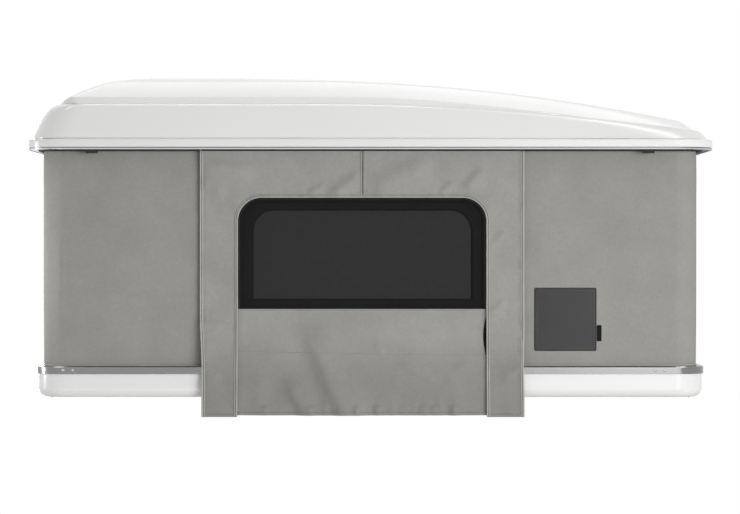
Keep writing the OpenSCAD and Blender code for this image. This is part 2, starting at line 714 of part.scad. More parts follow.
// Rod along +X with its piston inside the barrel and its eye at the top
module strut_rod() color("silver") {
  translate([rod_from, 0, 0]) rotate([0, 90, 0]) cylinder(h = piston, d = barrel_d - 2 * barrel_t - 0.8);
  translate([rod_from + 1, 0, 0]) rotate([0, 90, 0])
    cylinder(h = strut_len - eye_d / 2 + 1.5 - rod_from - 1, d = rod_d);
  translate([strut_len, 0, 0]) strut_eye();
}

module at_foot() translate([-foot_x, -strut_y, foot_z]) rotate([0, -strut_deg, 0]) children();

module strut_barrel_front_left() at_foot() strut_barrel();
module strut_barrel_front_right() mirror([1, 0, 0]) strut_barrel_front_left();
module strut_barrel_rear_left() mirror([0, 1, 0]) strut_barrel_front_left();
module strut_barrel_rear_right() mirror([0, 1, 0]) strut_barrel_front_right();
module strut_rod_front_left() at_foot() strut_rod();
module strut_rod_front_right() mirror([1, 0, 0]) strut_rod_front_left();
module strut_rod_rear_left() mirror([0, 1, 0]) strut_rod_front_left();
module strut_rod_rear_right() mirror([0, 1, 0]) strut_rod_front_right();

// Latch bracket on the tray's end: plate and two ears
module latch_brackets() color("silver") for (m = [0, 1]) mirror([m, 0, 0]) difference() {
  union() {
    translate([tray_end, -ear_in - latch_plate_w, tray_h - 1 - latch_plate_h])
      cube([latch_plate_t, 2 * (ear_in + latch_plate_w), latch_plate_h]);
    for (s = [-1, 1]) translate([tray_end, s * (ear_in + latch_plate_t / 2) - latch_plate_t / 2, latch_z]) {
      translate([0, 0, -ear_r]) cube([latch_out, latch_plate_t, 2 * ear_r]);
      translate([latch_out, 0, 0]) rotate([-90, 0, 0]) cylinder(h = latch_plate_t, r = ear_r);
    }
  }
  translate([latch_x, 0, latch_z]) rotate([90, 0, 0])
    cylinder(h = 3 * ear_in, d = latch_pin_d + 2 * running, center = true);
}

module latch_pins() color("silver") for (m = [0, 1]) mirror([m, 0, 0])
  translate([latch_x, 0, latch_z]) rotate([90, 0, 0]) {
    out = ear_in + latch_plate_t + seat;
    cylinder(h = 2 * out, d = latch_pin_d, center = true);
    for (s = [0, 1]) mirror([0, 0, s]) translate([0, 0, out]) cylinder(h = 2, d = latch_pin_d + 4);
  }

// Rubber draw strap hanging from its pin: eye, neck, cross head, pull tab
module latch_strap_right() color("black") translate([latch_x, 0, latch_z]) difference() {
  union() {
    rotate([90, 0, 0]) cylinder(h = 2 * (ear_in - seat), r = 6, center = true);
    translate([-strap_t / 2, -neck_w / 2, -neck_len - 1]) cube([strap_t, neck_w, neck_len]);
    translate([-head_t / 2, -head_w / 2, -neck_len - 9]) cube([head_t, head_w, 9]);
    translate([-2, -10, -neck_len - 24]) cube([4, 20, 16]);
  }
  rotate([90, 0, 0]) cylinder(h = 3 * ear_in, d = latch_pin_d + 2 * running, center = true);
}

module latch_strap_left() mirror([1, 0, 0]) latch_strap_right();

// Forked keeper on the roof rim: the strap's neck lies between the prongs
module latch_keepers() color("silver") for (m = [0, 1]) mirror([m, 0, 0]) {
  translate([rim_hl, -keeper_w / 2, prong_top - prong_t])
    cube([latch_plate_t, keeper_w, rim_z - 3 - prong_top + prong_t]);
  for (s = [-1, 1]) translate([rim_hl, s * (neck_w / 2 + 2 + prong_w / 2) - prong_w / 2, prong_top - prong_t])
    cube([prong_len, prong_w, prong_t]);
}

base_shell();
base_rail();
rail_rivets();
mounting_rail_front();
mounting_rail_rear();
floor_panel();
mattress();
strut_foot_brackets();
wall_fabric();
door_surround_front();
door_surround_rear();
door_binding_front();
door_binding_rear();
zip_tape_front();
zip_tape_rear();
door_lower_panel_front();
door_lower_panel_rear();
window_border_front();
window_border_rear();
window_mesh_front();
window_mesh_rear();
end_window_border_left();
end_window_border_right();
end_window_mesh_left();
end_window_mesh_right();
end_window_binding_left();
end_window_binding_right();
sewn_patch();
patch_tab();
latch_brackets();
latch_pins();
roof_shell();
roof_frame();
roof_trim();
roof_seal();
roof_liner();
strut_head_brackets();
roof_buffers();
latch_keepers();
strut_barrel_front_left();
strut_barrel_front_right();
strut_barrel_rear_left();
strut_barrel_rear_right();
strut_rod_front_left();
strut_rod_front_right();
strut_rod_rear_left();
strut_rod_rear_right();
door_flap_front();
door_flap_rear();
latch_strap_left();
latch_strap_right();
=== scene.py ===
import math

import bpy
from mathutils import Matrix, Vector, noise


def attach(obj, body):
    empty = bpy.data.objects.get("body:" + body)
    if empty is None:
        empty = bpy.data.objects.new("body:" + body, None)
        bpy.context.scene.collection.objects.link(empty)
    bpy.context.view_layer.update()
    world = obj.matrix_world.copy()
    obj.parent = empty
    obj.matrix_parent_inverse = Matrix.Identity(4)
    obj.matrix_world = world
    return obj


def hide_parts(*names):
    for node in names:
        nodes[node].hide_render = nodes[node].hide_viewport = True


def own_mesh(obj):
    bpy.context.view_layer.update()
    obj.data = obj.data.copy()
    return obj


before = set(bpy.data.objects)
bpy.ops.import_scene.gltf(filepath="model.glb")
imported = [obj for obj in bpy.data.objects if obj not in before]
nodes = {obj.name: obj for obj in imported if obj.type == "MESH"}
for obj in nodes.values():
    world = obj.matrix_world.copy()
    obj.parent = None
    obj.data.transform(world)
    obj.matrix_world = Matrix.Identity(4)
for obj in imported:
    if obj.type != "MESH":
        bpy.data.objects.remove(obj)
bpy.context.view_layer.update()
mm = 0.001
scene = bpy.context.scene


def linear(hexCode):
    parts = [int(hexCode[i:i + 2], 16) / 255 for i in (1, 3, 5)]
    return [p / 12.92 if p <= 0.04045 else ((p + 0.055) / 1.055) ** 2.4 for p in parts] + [1]


def addNode(tree, kind, links=None, **settings):
    made = tree.nodes.new("ShaderNode" + kind)
    for name, value in settings.items():
        setattr(made, name, value)
    for name, value in (links or {}).items():
        if isinstance(value, bpy.types.NodeSocket):
            tree.links.new(value, made.inputs[name])
        else:
            made.inputs[name].default_value = value
    return made


# a material with its tree, its shader and the socket that says where on the piece a point lies
def newMaterial(name, colour, roughness, metallic=0.0, **sockets):
    made = bpy.data.materials.new(name)
    made.use_nodes = True
    tree = made.node_tree
    shader = tree.nodes["Principled BSDF"]
    sockets.update(Base_Color=linear(colour), Roughness=roughness, Metallic=metallic)
    for socket, value in sockets.items():
        shader.inputs[socket.replace("_", " ")].default_value = value
    return made, tree, shader, addNode(tree, "TexCoord").outputs["Object"]


def ramp(t):
    t = min(1.0, max(0.0, t))
    return t * t * (3 - 2 * t)


def mix(a, b, t):
    return a + (b - a) * t


def between(p, q, t):
    return tuple(mix(a, b, t) for a, b in zip(p, q))


# smooth unevenness from -1 to 1, its lumps about size mm across
def lumps(x, y, z, size):
    return noise.noise(Vector((x / size, y / size, z / size)))


# camera level with the middle of the cloth, far off with a long lens as the photograph shows
cameraView = {"place": (0.0, -9.65, 0.427), "lens": 144.5, "sensor": 36.0}
cameraData = bpy.data.cameras.new("camera")
cameraData.lens = cameraView["lens"]
cameraData.sensor_width = cameraView["sensor"]
camera = bpy.data.objects.new("camera", cameraData)
camera.location = cameraView["place"]
camera.rotation_euler = (math.pi / 2, 0, 0)
scene.collection.objects.link(camera)
scene.camera = camera
scene.view_settings.view_transform = "Standard"

studio = {
    "worldLight": 0.3, "worldColour": "#ffffff",
    "lamps": [  # name, place, aim, width, height, power, spread in degrees
        ("key", (4.4, -6.2, 0.4), (0.35, -0.6, 0.6), 4.6, 3.2, 77, 90),
        ("low front", (-0.3, -3.4, -0.7), (-0.2, -0.6, 0.4), 4.4, 0.5, 11, 180),
        ("right card", (2.6, -8.4, 0.3), (0.9, -0.65, 0.42), 3.6, 2.4, 53, 180),
        ("left grid", (-3.0, 0, 0.42), (-1.0, 0, 0.42), 1.2, 0.7, 4.6, 30),
        ("overhead strip", (0, -0.4, 4.4), (0, -0.4, 0.9), 6.0, 0.5, 56, 180),
        ("high back", (-0.6, 4.9, 5.3), (0, 0, 0.9), 7.0, 3.4, 56, 180),
        ("low back", (-2.4, 5.4, 0.2), (0, 0.6, 0.45), 2.6, 2.2, 150, 180)],
    "unmirrored": ("key",),  # its image in the gloss would blot out the roof's top from behind
    "floorZ": -0.9, "floorHalf": 4.6, "floorFade": (0.45, 0.98), "floorColour": "#f2f2f1"}

# the world shows as plain white and lights more weakly than it shows
world = bpy.data.worlds.new("studio")
scene.world = world
world.use_nodes = True
tree = world.node_tree
tree.nodes.clear()
ray = addNode(tree, "LightPath")
seen = addNode(tree, "Math", {0: ray.outputs["Is Camera Ray"], 1: ray.outputs["Is Glossy Ray"]},
               operation="ADD")
seen = addNode(tree, "Math", {0: seen.outputs[0], 1: ray.outputs["Is Transmission Ray"]},
               operation="ADD", use_clamp=True)
lit = addNode(tree, "Background", {"Color": linear(studio["worldColour"]), "Strength": studio["worldLight"]})
shown = addNode(tree, "Background", {"Color": linear(studio["worldColour"]), "Strength": 1.0})
both = addNode(tree, "MixShader", {0: seen.outputs[0], 1: lit.outputs[0], 2: shown.outputs[0]})
addNode(tree, "OutputWorld", {"Surface": both.outputs[0]})

for name, place, aim, width, height, power, spread in studio["lamps"]:
    lamp = bpy.data.lights.new(name, "AREA")
    lamp.shape = "RECTANGLE"
    lamp.size, lamp.size_y = width, height
    lamp.energy = power
    lamp.spread = math.radians(spread)
    lampObject = bpy.data.objects.new(name, lamp)
    lampObject.location = place
    lampObject.rotation_euler = (Vector(aim) - Vector(place)).to_track_quat("-Z", "Y").to_euler()
    lampObject.visible_glossy = name not in studio["unmirrored"]
    scene.collection.objects.link(lampObject)

# floor of matt painted board, faded out before its edge so no edge shows
half = studio["floorHalf"]
fadeStart, fadeEnd = studio["floorFade"]
floorPaint, tree, shader, spot = newMaterial("matt painted board floor", studio["floorColour"], 0.9)
far = addNode(tree, "VectorMath", {0: spot}, operation="LENGTH")
fade = addNode(tree, "MapRange", {0: far.outputs["Value"], 1: half * fadeStart, 2: half * fadeEnd},
               interpolation_type="SMOOTHSTEP")
clear = addNode(tree, "BsdfTransparent")
floorMix = addNode(tree, "MixShader", {0: fade.outputs[0], 1: shader.outputs[0], 2: clear.outputs[0]})
tree.links.new(floorMix.outputs[0], tree.nodes["Material Output"].inputs["Surface"])
floorMesh = bpy.data.meshes.new("floor")
floorMesh.from_pydata([(-half, -half, 0), (half, -half, 0), (half, half, 0), (-half, half, 0)], [],
                      [(0, 1, 2, 3)])
floorMesh.materials.append(floorPaint)
floor = bpy.data.objects.new("floor", floorMesh)
floor.location = (0, 0, studio["floorZ"])
scene.collection.objects.link(floor)
print("camera, lamps and floor set")


# woven cloth: matt, with faint cloudy unevenness, threads 0.6 mm apart
# drawn at 5 mm, since a single thread is far finer than a pixel
def wovenCloth(name, colour, shade, roughness, thread=5.0, cloud=150.0, bump=0.12, sheen=0.12, hemShade=None):
    made, tree, shader, spot = newMaterial(name, colour, roughness, IOR=1.5, Sheen_Weight=sheen,
                                           Sheen_Roughness=0.6, Specular_IOR_Level=0.2)
    clouds = addNode(tree, "TexNoise", {"Vector": spot, "Scale": 1000 / cloud, "Detail": 5.0,
                                        "Roughness": 0.62})
    band = addNode(tree, "MapRange", {0: clouds.outputs["Fac"], 1: 0.32, 2: 0.68})
    paint = addNode(tree, "Mix", {0: band.outputs[0], 6: linear(shade), 7: linear(colour)}, data_type="RGBA")
    flecks = addNode(tree, "TexNoise", {"Vector": spot, "Scale": 1000 / (thread * 1.6), "Detail": 3.0,
                                        "Roughness": 0.7})
    fleck = addNode(tree, "MapRange", {0: flecks.outputs["Fac"], 1: 0.3, 2: 0.7, 3: 0.95, 4: 1.05})
    paint = addNode(tree, "Mix", {0: 1.0, 6: paint.outputs[2], 7: fleck.outputs[0]}, data_type="RGBA",
                    blend_type="MULTIPLY")
    split = addNode(tree, "SeparateXYZ", {0: spot})
    if hemShade:  # painted shade: darker below a height, towards the hem
        low, high, darkest = hemShade
        unshaded = addNode(tree, "MapRange", {0: split.outputs[2], 1: low, 2: high, 3: darkest, 4: 1.0},
                        interpolation_type="SMOOTHSTEP")
        paint = addNode(tree, "Mix", {0: 1.0, 6: paint.outputs[2], 7: unshaded.outputs[0]}, data_type="RGBA",
                        blend_type="MULTIPLY")
    tree.links.new(paint.outputs[2], shader.inputs["Base Color"])
    sideways = addNode(tree, "Math", {0: split.outputs[0], 1: split.outputs[1]}, operation="ADD")
    waves = []
    for way in (sideways.outputs[0], split.outputs[2]):  # warp, then weft
        turn = addNode(tree, "Math", {0: way, 1: 2000 * math.pi / thread}, operation="MULTIPLY")
        waves.append(addNode(tree, "Math", {0: turn.outputs[0]}, operation="SINE"))
    weave = addNode(tree, "Math", {i: wave.outputs[0] for i, wave in enumerate(waves)}, operation="MULTIPLY")
    rough = addNode(tree, "Math", {0: weave.outputs[0], 1: 0.25, 2: flecks.outputs["Fac"]},
                    operation="MULTIPLY_ADD")
    raised = addNode(tree, "Bump", {"Height": rough.outputs[0], "Strength": bump, "Distance": 0.0012})
    tree.links.new(raised.outputs[0], shader.inputs["Normal"])
    return made


# coated polycotton canvas of the walls and the flaps, warm grey
tentCloth = wovenCloth("polycotton canvas, woven and coated", "#9e9c99", "#979592", 0.86)
# door cloth is the same canvas, with painted shade making it darker towards the hem
doorCloth = wovenCloth("polycotton canvas, rolled door", "#a3a19e", "#9b9996", 0.86, cloud=110.0, bump=0.16,
                       hemShade=(0.04, 0.2, 0.8))
# twill tape: the binding round the opening is close to the canvas, the outer edges are paler, a little shiny;
# the paler tone is partly a painted highlight on the rolled edges and the foot cord
bindingTape = wovenCloth("polyester twill tape, folded and sewn", "#b3b1ad", "#a7a5a1", 0.7, thread=3.0,
                         cloud=60.0)
paleTape = wovenCloth("polyester twill tape, pale, partly painted highlight", "#bdbcb8", "#b0afab", 0.6, thread=3.0, cloud=60.0)
# black border cloth, a plain close weave without any bloom
blackCloth = wovenCloth("black polyester cloth, plain woven", "#161617", "#121213", 0.8, thread=4.0, cloud=70.0,
                        sheen=0.0)
# sewn patch of heavy nylon: smooth coated face, duller folded edge, paler welded line
patchCloth = wovenCloth("heavy nylon cloth, coated", "#3f3f3f", "#3f3f3f", 0.42, thread=3.0, cloud=120.0,
                        bump=0.06)
patchEdge = wovenCloth("heavy nylon cloth, folded edge", "#40403f", "#383837", 0.6, thread=3.0, cloud=60.0)
patchLine = wovenCloth("heavy nylon cloth, welded line", "#595a57", "#50514e", 0.6, thread=3.0, cloud=60.0)
# mattress cover in a knitted polyester, liner in a brushed polyester, both dull and soft
mattressCloth = wovenCloth("knitted polyester cover", "#5d5e60", "#535456", 0.85, thread=4.0, cloud=90.0)
linerCloth = wovenCloth("brushed polyester lining, quilted", "#c9c8c3", "#bebdb8", 0.9, thread=4.0, cloud=120.0)
# twisted polyester thread, lighter than the cloth it lies on; its darker copies are painted shadow along the
# lapped seam and painted shade where it is sunk
threadCloth = wovenCloth("twisted polyester thread", "#a9a8a2", "#9b9a94", 0.6, thread=2.0, cloud=40.0)
seamShadowThread = wovenCloth("twisted polyester thread, painted seam shadow", "#4a4946", "#3f3e3b", 0.8, thread=2.0, cloud=40.0)
sunkThreadShade = wovenCloth("twisted polyester thread, sunk in a seam", "#72706c", "#676561", 0.8, thread=2.0,
                        cloud=40.0)

# insect net: knitted black polyester, 1.2 mm cells drawn as 6 mm rows so that rows show,
# the open cells let a little light through
netRows = {"row": 6.0, "uneven": 1000 / 60, "colour": "#2c2c2d", "dark": "#262627", "open": 0.1}
insectNet, tree, shader, spot = newMaterial("knitted polyester insect net", netRows["colour"], 0.7, IOR=1.5,
                                            Specular_IOR_Level=0.25, Sheen_Weight=0.15,
                                            Alpha=1 - netRows["open"])
split = addNode(tree, "SeparateXYZ", {0: spot})
turn = addNode(tree, "Math", {0: split.outputs[2], 1: 2000 * math.pi / netRows["row"]}, operation="MULTIPLY")
wave = addNode(tree, "Math", {0: turn.outputs[0]}, operation="SINE")
uneven = addNode(tree, "TexNoise", {"Vector": spot, "Scale": 1000 / netRows["uneven"], "Detail": 4.0})
rows = addNode(tree, "Math", {0: wave.outputs[0], 1: 0.3, 2: uneven.outputs["Fac"]}, operation="MULTIPLY_ADD")
paint = addNode(tree, "Mix", {0: rows.outputs[0], 6: linear(netRows["dark"]), 7: linear(netRows["colour"])},
                data_type="RGBA")
tree.links.new(paint.outputs[2], shader.inputs["Base Color"])
raised = addNode(tree, "Bump", {"Height": rows.outputs[0], "Strength": 0.3, "Distance": 0.001})
tree.links.new(raised.outputs[0], shader.inputs["Normal"])

# white gelcoat laid in a polished mould: bright gloss with the faintest waviness from the glass mat below
gelForm = {"colour": "#eaeae8", "mat": 45, "haze": 260, "gloss": (0.16, 0.27)}
gelcoat, tree, shader, spot = newMaterial("gelcoat on glass fibre, laid in a polished mould", gelForm["colour"],
                                          0.17, IOR=1.5, Coat_Weight=0.25, Coat_Roughness=0.08)
mat = addNode(tree, "TexNoise", {"Vector": spot, "Scale": 1000 / gelForm["mat"], "Detail": 2.0})
haze = addNode(tree, "TexNoise", {"Vector": spot, "Scale": 1000 / gelForm["haze"], "Detail": 4.0})
gloss = addNode(tree, "MapRange", {0: haze.outputs["Fac"], 1: 0.3, 2: 0.7,
                                   3: gelForm["gloss"][0], 4: gelForm["gloss"][1]})
tree.links.new(gloss.outputs[0], shader.inputs["Roughness"])
raised = addNode(tree, "Bump", {"Height": mat.outputs["Fac"], "Strength": 0.03, "Distance": 0.002})
tree.links.new(raised.outputs[0], shader.inputs["Normal"])


# extruded metal: drawn lines along the length, 0.3 mm apart on the real rail, drawn 2 mm apart to show
def drawnMetal(name, colour, shade, roughness, line=2.0, spread=0.08, groove=None):
    made, tree, shader, spot = newMaterial(name, colour, roughness, metallic=1.0)
    stretch = addNode(tree, "Mapping", {"Vector": spot, "Scale": (3.0, 3.0, 1000 / line)})
    lines = addNode(tree, "TexNoise", {"Vector": stretch.outputs[0], "Scale": 1.0, "Detail": 3.0,
                                       "Roughness": 0.6})
    paint = addNode(tree, "Mix", {0: lines.outputs["Fac"], 6: linear(shade), 7: linear(colour)},
                    data_type="RGBA")
    if groove:  # painted shade: the strip above this height is darkened
        height, grooveShade = groove
        split = addNode(tree, "SeparateXYZ", {0: spot})
        above = addNode(tree, "MapRange", {0: split.outputs[2], 1: height - 0.0004, 2: height + 0.0004})
        paint = addNode(tree, "Mix", {0: above.outputs[0], 6: paint.outputs[2], 7: linear(grooveShade)},
                        data_type="RGBA")
    tree.links.new(paint.outputs[2], shader.inputs["Base Color"])
    gloss = addNode(tree, "MapRange", {0: lines.outputs["Fac"], 1: 0.3, 2: 0.7,
                                       3: roughness - spread, 4: roughness + spread})
    tree.links.new(gloss.outputs[0], shader.inputs["Roughness"])
    raised = addNode(tree, "Bump", {"Height": lines.outputs["Fac"], "Strength": 0.08, "Distance": 0.0006})
    tree.links.new(raised.outputs[0], shader.inputs["Normal"])
    return made


railMetal = drawnMetal("aluminium, extruded and satin anodised", "#898989", "#7d7d7d", 0.2)
# the strip above 758.3 mm is darkened: painted shade in the trim's recess
trimMetal = drawnMetal("stainless strip, rolled bright", "#cbcccd", "#bfc0c1", 0.3, line=3.0, spread=0.05,
                       groove=(0.7583, "#6f7072"))
latchMetal = drawnMetal("stainless sheet, pressed", "#c9cacb", "#b6b7b9", 0.32, line=1.5)
rivetMetal = drawnMetal("aluminium, blind rivet head", "#c2c4c5", "#a9abad", 0.35, line=1.0)
rodMetal = drawnMetal("hard chromed steel rod, ground", "#d8d9db", "#cbccce", 0.12, line=1.0, spread=0.04)


# black parts: fine grain breaks up the gloss, and worn places about 70 mm across change it a little
def blackFinish(name, colour, shade, roughness, grain, strength, wear=70, spread=0.06):
    made, tree, shader, spot = newMaterial(name, colour, roughness, IOR=1.5)
    grit = addNode(tree, "TexNoise", {"Vector": spot, "Scale": 1000 / grain, "Detail": 4.0})
    worn = addNode(tree, "TexNoise", {"Vector": spot, "Scale": 1000 / wear, "Detail": 4.0})
    band = addNode(tree, "MapRange", {0: worn.outputs["Fac"], 1: 0.35, 2: 0.65})
    paint = addNode(tree, "Mix", {0: band.outputs[0], 6: linear(shade), 7: linear(colour)}, data_type="RGBA")
    tree.links.new(paint.outputs[2], shader.inputs["Base Color"])
    gloss = addNode(tree, "MapRange", {0: worn.outputs["Fac"], 1: 0.3, 2: 0.7,
                                       3: roughness - spread, 4: roughness + spread})
    tree.links.new(gloss.outputs[0], shader.inputs["Roughness"])
    raised = addNode(tree, "Bump", {"Height": grit.outputs["Fac"], "Strength": strength, "Distance": 0.0008})
    tree.links.new(raised.outputs[0], shader.inputs["Normal"])
    return made


frameBlack = blackFinish("aluminium, black powder coated", "#1b1b1c", "#161617", 0.5, 1.5, 0.25)
sealRubber = blackFinish("black rubber, extruded", "#191919", "#131313", 0.65, 3.0, 0.15)
strapRubber = blackFinish("black rubber, moulded", "#1d1d1e", "#171718", 0.6, 2.0, 0.2)
barrelBlack = blackFinish("steel tube, black enamelled", "#151516", "#101011", 0.28, 6.0, 0.05)
tapeBlack = blackFinish("nylon coil zip, black", "#151516", "#0f0f10", 0.45, 2.0, 0.2)

# birch-faced floor board: pale lengthwise grain under a matt varnish, growth lines about 6 mm apart
boardGrain = {"line": 6, "dark": "#b08f61", "pale": "#d8be95"}
floorBoard, tree, shader, spot = newMaterial("birch plywood facing, varnished", "#c9ab7e", 0.45, IOR=1.5)
growth = 1000 / boardGrain["line"]
stretch = addNode(tree, "Mapping", {"Vector": spot, "Scale": (4.0, growth, growth)})
grain = addNode(tree, "TexNoise", {"Vector": stretch.outputs[0], "Scale": 1.0, "Detail": 5.0,
                                   "Distortion": 0.6})
paint = addNode(tree, "Mix", {0: grain.outputs["Fac"], 6: linear(boardGrain["dark"]),
                              7: linear(boardGrain["pale"])}, data_type="RGBA")
tree.links.new(paint.outputs[2], shader.inputs["Base Color"])
raised = addNode(tree, "Bump", {"Height": grain.outputs["Fac"], "Strength": 0.1, "Distance": 0.0008})
tree.links.new(raised.outputs[0], shader.inputs["Normal"])

finishOf = {
    "base_shell": gelcoat, "roof_shell": gelcoat, "base_rail": railMetal, "rail_rivets": rivetMetal,
    "mounting_rail_front": railMetal, "mounting_rail_rear": railMetal, "floor_panel": floorBoard,
    "strut_foot_brackets": frameBlack, "strut_head_brackets": frameBlack, "latch_brackets": latchMetal,
    "latch_pins": latchMetal, "latch_keepers": latchMetal, "roof_frame": frameBlack, "roof_trim": trimMetal,
    "roof_seal": sealRubber, "roof_buffers": strapRubber, "latch_strap_left": strapRubber,
    "latch_strap_right": strapRubber}
for corner in ("front_left", "front_right", "rear_left", "rear_right"):
    finishOf["strut_barrel_" + corner] = barrelBlack
    finishOf["strut_rod_" + corner] = rodMetal
for name, finish in finishOf.items():
    nodes[name].data.materials.clear()
    nodes[name].data.materials.append(finish)
print("materials set on", len(finishOf), "rigid pieces")


def makePiece(name, points, faces, finish, body="base", thickness=0.0, flip=False):
    mesh = bpy.data.meshes.new(name)
    mesh.from_pydata([(x * mm, y * mm, z * mm) for x, y, z in points], [], faces)
    mesh.validate()
    mesh.materials.append(finish)
    if flip:
        mesh.flip_normals()
    made = bpy.data.objects.new(name, mesh)
    scene.collection.objects.link(made)
    if thickness:
        solid = made.modifiers.new("thickness", "SOLIDIFY")
        solid.thickness = thickness * mm
        solid.offset = -1
        graph = bpy.context.evaluated_depsgraph_get()
        made.data = bpy.data.meshes.new_from_object(made.evaluated_get(graph))
        made.modifiers.clear()
    made.data.shade_smooth()
    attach(made, body)
    return made


# faces of a grid: wrap joins its last row to the first, ring joins the ends of each row
def gridFaces(rowCount, across, wrap=False, ring=False):
    faces = []
    for i in range(rowCount if wrap else rowCount - 1):
        a, b = i * across, (i + 1) % rowCount * across
        for j in range(across if ring else across - 1):
            k = (j + 1) % across
            faces.append((a + j, b + j, b + k, a + k))
    return faces


# rings joined one to the next, the last closed by cap, or all round if wrap is set
def closeRings(rings, cap=None, wrap=False):
    count, last = len(rings[0]), len(rings) - 1
    faces = [(a, d, c, b) for a, b, c, d in gridFaces(len(rings), count, wrap, ring=True)]
    if not wrap:
        faces += [tuple(last * count + i for i in face) for face in cap or [range(count)]]
    return [p for ring in rings for p in ring], faces


# a strip swept along a line: profile points are (across, out), place(i, across, out) gives the point
def sweep(count, profile, place, closed=False):
    n = len(profile)
    faces = gridFaces(count, n, closed, ring=True)
    if not closed:
        faces += [tuple(range(n)), tuple(reversed(range((count - 1) * n, count * n)))]
    return [place(i, a, o) for i in range(count) for a, o in profile], faces


# several lists of points and faces made one
def joined(parts):
    points, faces = [], []
    for morePoints, moreFaces in parts:
        faces += [tuple(k + len(points) for k in face) for face in moreFaces]
        points += morePoints
    return points, faces


# rounded rectangle, or an arch whose foot corners are square, as a closed line of points
def outline(width, height, radius, square=False, step=8.0):
    w, h, r = width / 2, height / 2, radius
    corners = [(w - r, h - r, 0), (-w + r, h - r, 90), (-w + r, -h + r, 180), (w - r, -h + r, 270)]
    path = []
    for k, (cx, cy, start) in enumerate(corners):
        if square and k > 1:
            path.append([(-w, -h)] if k == 2 else [(w, -h)])
            continue
        count = max(3, int(r * math.pi / 2 / step) + 1)
        angles = [math.radians(start + 90 * i / count) for i in range(count + 1)]
        path.append([(cx + r * math.cos(a), cy + r * math.sin(a)) for a in angles])
    whole = []
    for k in range(4):
        whole += path[k]
        p, q = path[k][-1], path[(k + 1) % 4][0]
        count = max(1, int(math.hypot(q[0] - p[0], q[1] - p[1]) / step))
        whole += [between(p, q, i / count) for i in range(1, count)]
    return whole


# the rounded rectangle drawn in by an amount, point for point
def drawIn(width, height, radius, amount, step):
    w, h, r = width / 2, height / 2, radius
    inner = []
    for x, y in outline(width, height, radius, step=step):
        if abs(x) > w - r and abs(y) > h - r:
            cx, cy = math.copysign(w - r, x), math.copysign(h - r, y)
            inner.append(between((cx, cy), (x, y), (r - amount) / r))
        else:
            inner.append((x * (w - amount) / w if abs(abs(x) - w) < 1e-6 else x,
                          y * (h - amount) / h if abs(abs(y) - h) < 1e-6 else y))
    return inner


# what rounded corners take off a rectangle's area
def cornerLoss(radius, corners):
    return corners * (1 - math.pi / 4) * radius ** 2


# one ring in plan, from the low end round to the low end again
def roundRing(x0, x1, y1, highCorner, lowCorner, along=64, across=24):
    turns = [math.pi / 2 * i / 12 for i in range(13)]
    line = [(x1 - lowCorner * (1 - math.cos(a)), y1 - lowCorner * (1 - math.sin(a))) for a in turns]
    line += [(mix(x1 - lowCorner, x0 + highCorner, i / along), y1) for i in range(1, along)]
    line += [(x0 + highCorner * (1 - math.sin(a)), y1 - highCorner * (1 - math.cos(a))) for a in turns]
    highEnd = [(x0, mix(1, -1, i / across) * (y1 - highCorner)) for i in range(1, across)]
    lowEnd = [(x1, mix(-1, 1, i / across) * (y1 - lowCorner)) for i in range(1, across)]
    return line + highEnd + [(x, -y) for x, y in reversed(line)] + lowEnd


# roof skin: a finer form of the moulded shell, from the same sizes as the solid
# each triple of insets is for the long sides, the high end and the low end
roofForm = {
    "halfLength": 1050.0, "halfWidth": 650.0, "corner": 120.0, "rim": 785.0, "wall": 5.0,
    "rimRings": [(0, 761.0), (0, 765.0), (0, 780.0), (0, 782.2), (0.5, 784.0), (1.6, 784.9), (3.2, 785.0),
                 (8, 785.0), (12, 785.0)],  # inset and height
    "step": 13.0, "shoulder": (64.0, 94.0, 44.0), "fullness": (1.35, 2.0, 2.0),
    "groove": 6.0, "grooveTop": 0.034,
    "slope": (0, 0.03, 0.034, 0.06, 0.11, 0.18, 0.26, 0.34, 0.42, 0.5, 0.58, 0.66, 0.74, 0.81, 0.87, 0.92),
    "bevel": [(0.95, 0), (0.953, 0.33), (0.957, 0.77), (0.97, 2.2), (0.983, 3.63), (0.987, 4.2), (0.992, 6.2),
              (0.997, 9.5), (1, 13)],  # share of the ledge's height, reach inwards
    "panel": (80.0, 123.0, 55.0), "panelCorner": 40.0, "foot": (6, 6, 9), "footRise": 0.4, "endBlend": (50, 60),
    "riserRings": [  # place, rise along the sides, rise at the high end
        (0, 0.01, 0.8), (0.06, 0.05, 0.81), (0.15, 0.14, 0.83), (0.45, 0.5, 0.88), (0.78, 0.88, 0.95),
        (0.94, 0.97, 0.985), (0.985, 0.993, 0.996)],
    "flank": (0, 0.004, 0.015, 0.05, 0.12, 0.2, 0.3, 0.4, 0.5, 0.6, 0.7, 0.8, 0.88, 0.94, 0.98, 1),
    "top": (250.0, 252.0, 86.0), "topCorner": 28.0, "cornerFall": 0.45, "flankPower": 1.3, "crownPower": 2,
    "crownRings": (0.02, 0.06, 0.12, 0.2, 0.3, 0.4, 0.5, 0.6, 0.7, 0.8, 0.9, 1),
    "crownReach": (560.0, 432.0, 466.0), "riser": (21.0, 850.5),  # height of the riser, and where it runs out
    "ledge": (110.0, 86.0, -99.75, 1.7),  # height, drop, start and power of each fall along the roof
    "edge": (190.0, 143.0, -199.5, 1.9), "crown": (213.0, 160.0, -598.5, 2.4)}


def fallAlong(x, spec):
    high, drop, start, power = spec
    return high - drop * max(0.0, (x - start) / (roofForm["halfLength"] - start)) ** power


def cornerAt(side):
    return max(roofForm["topCorner"], roofForm["corner"] - roofForm["cornerFall"] * side)


def roofPlan(side, high, low, highCorner, lowCorner):
    return roundRing(high - roofForm["halfLength"], roofForm["halfLength"] - low, roofForm["halfWidth"] - side,
                     highCorner, lowCorner)


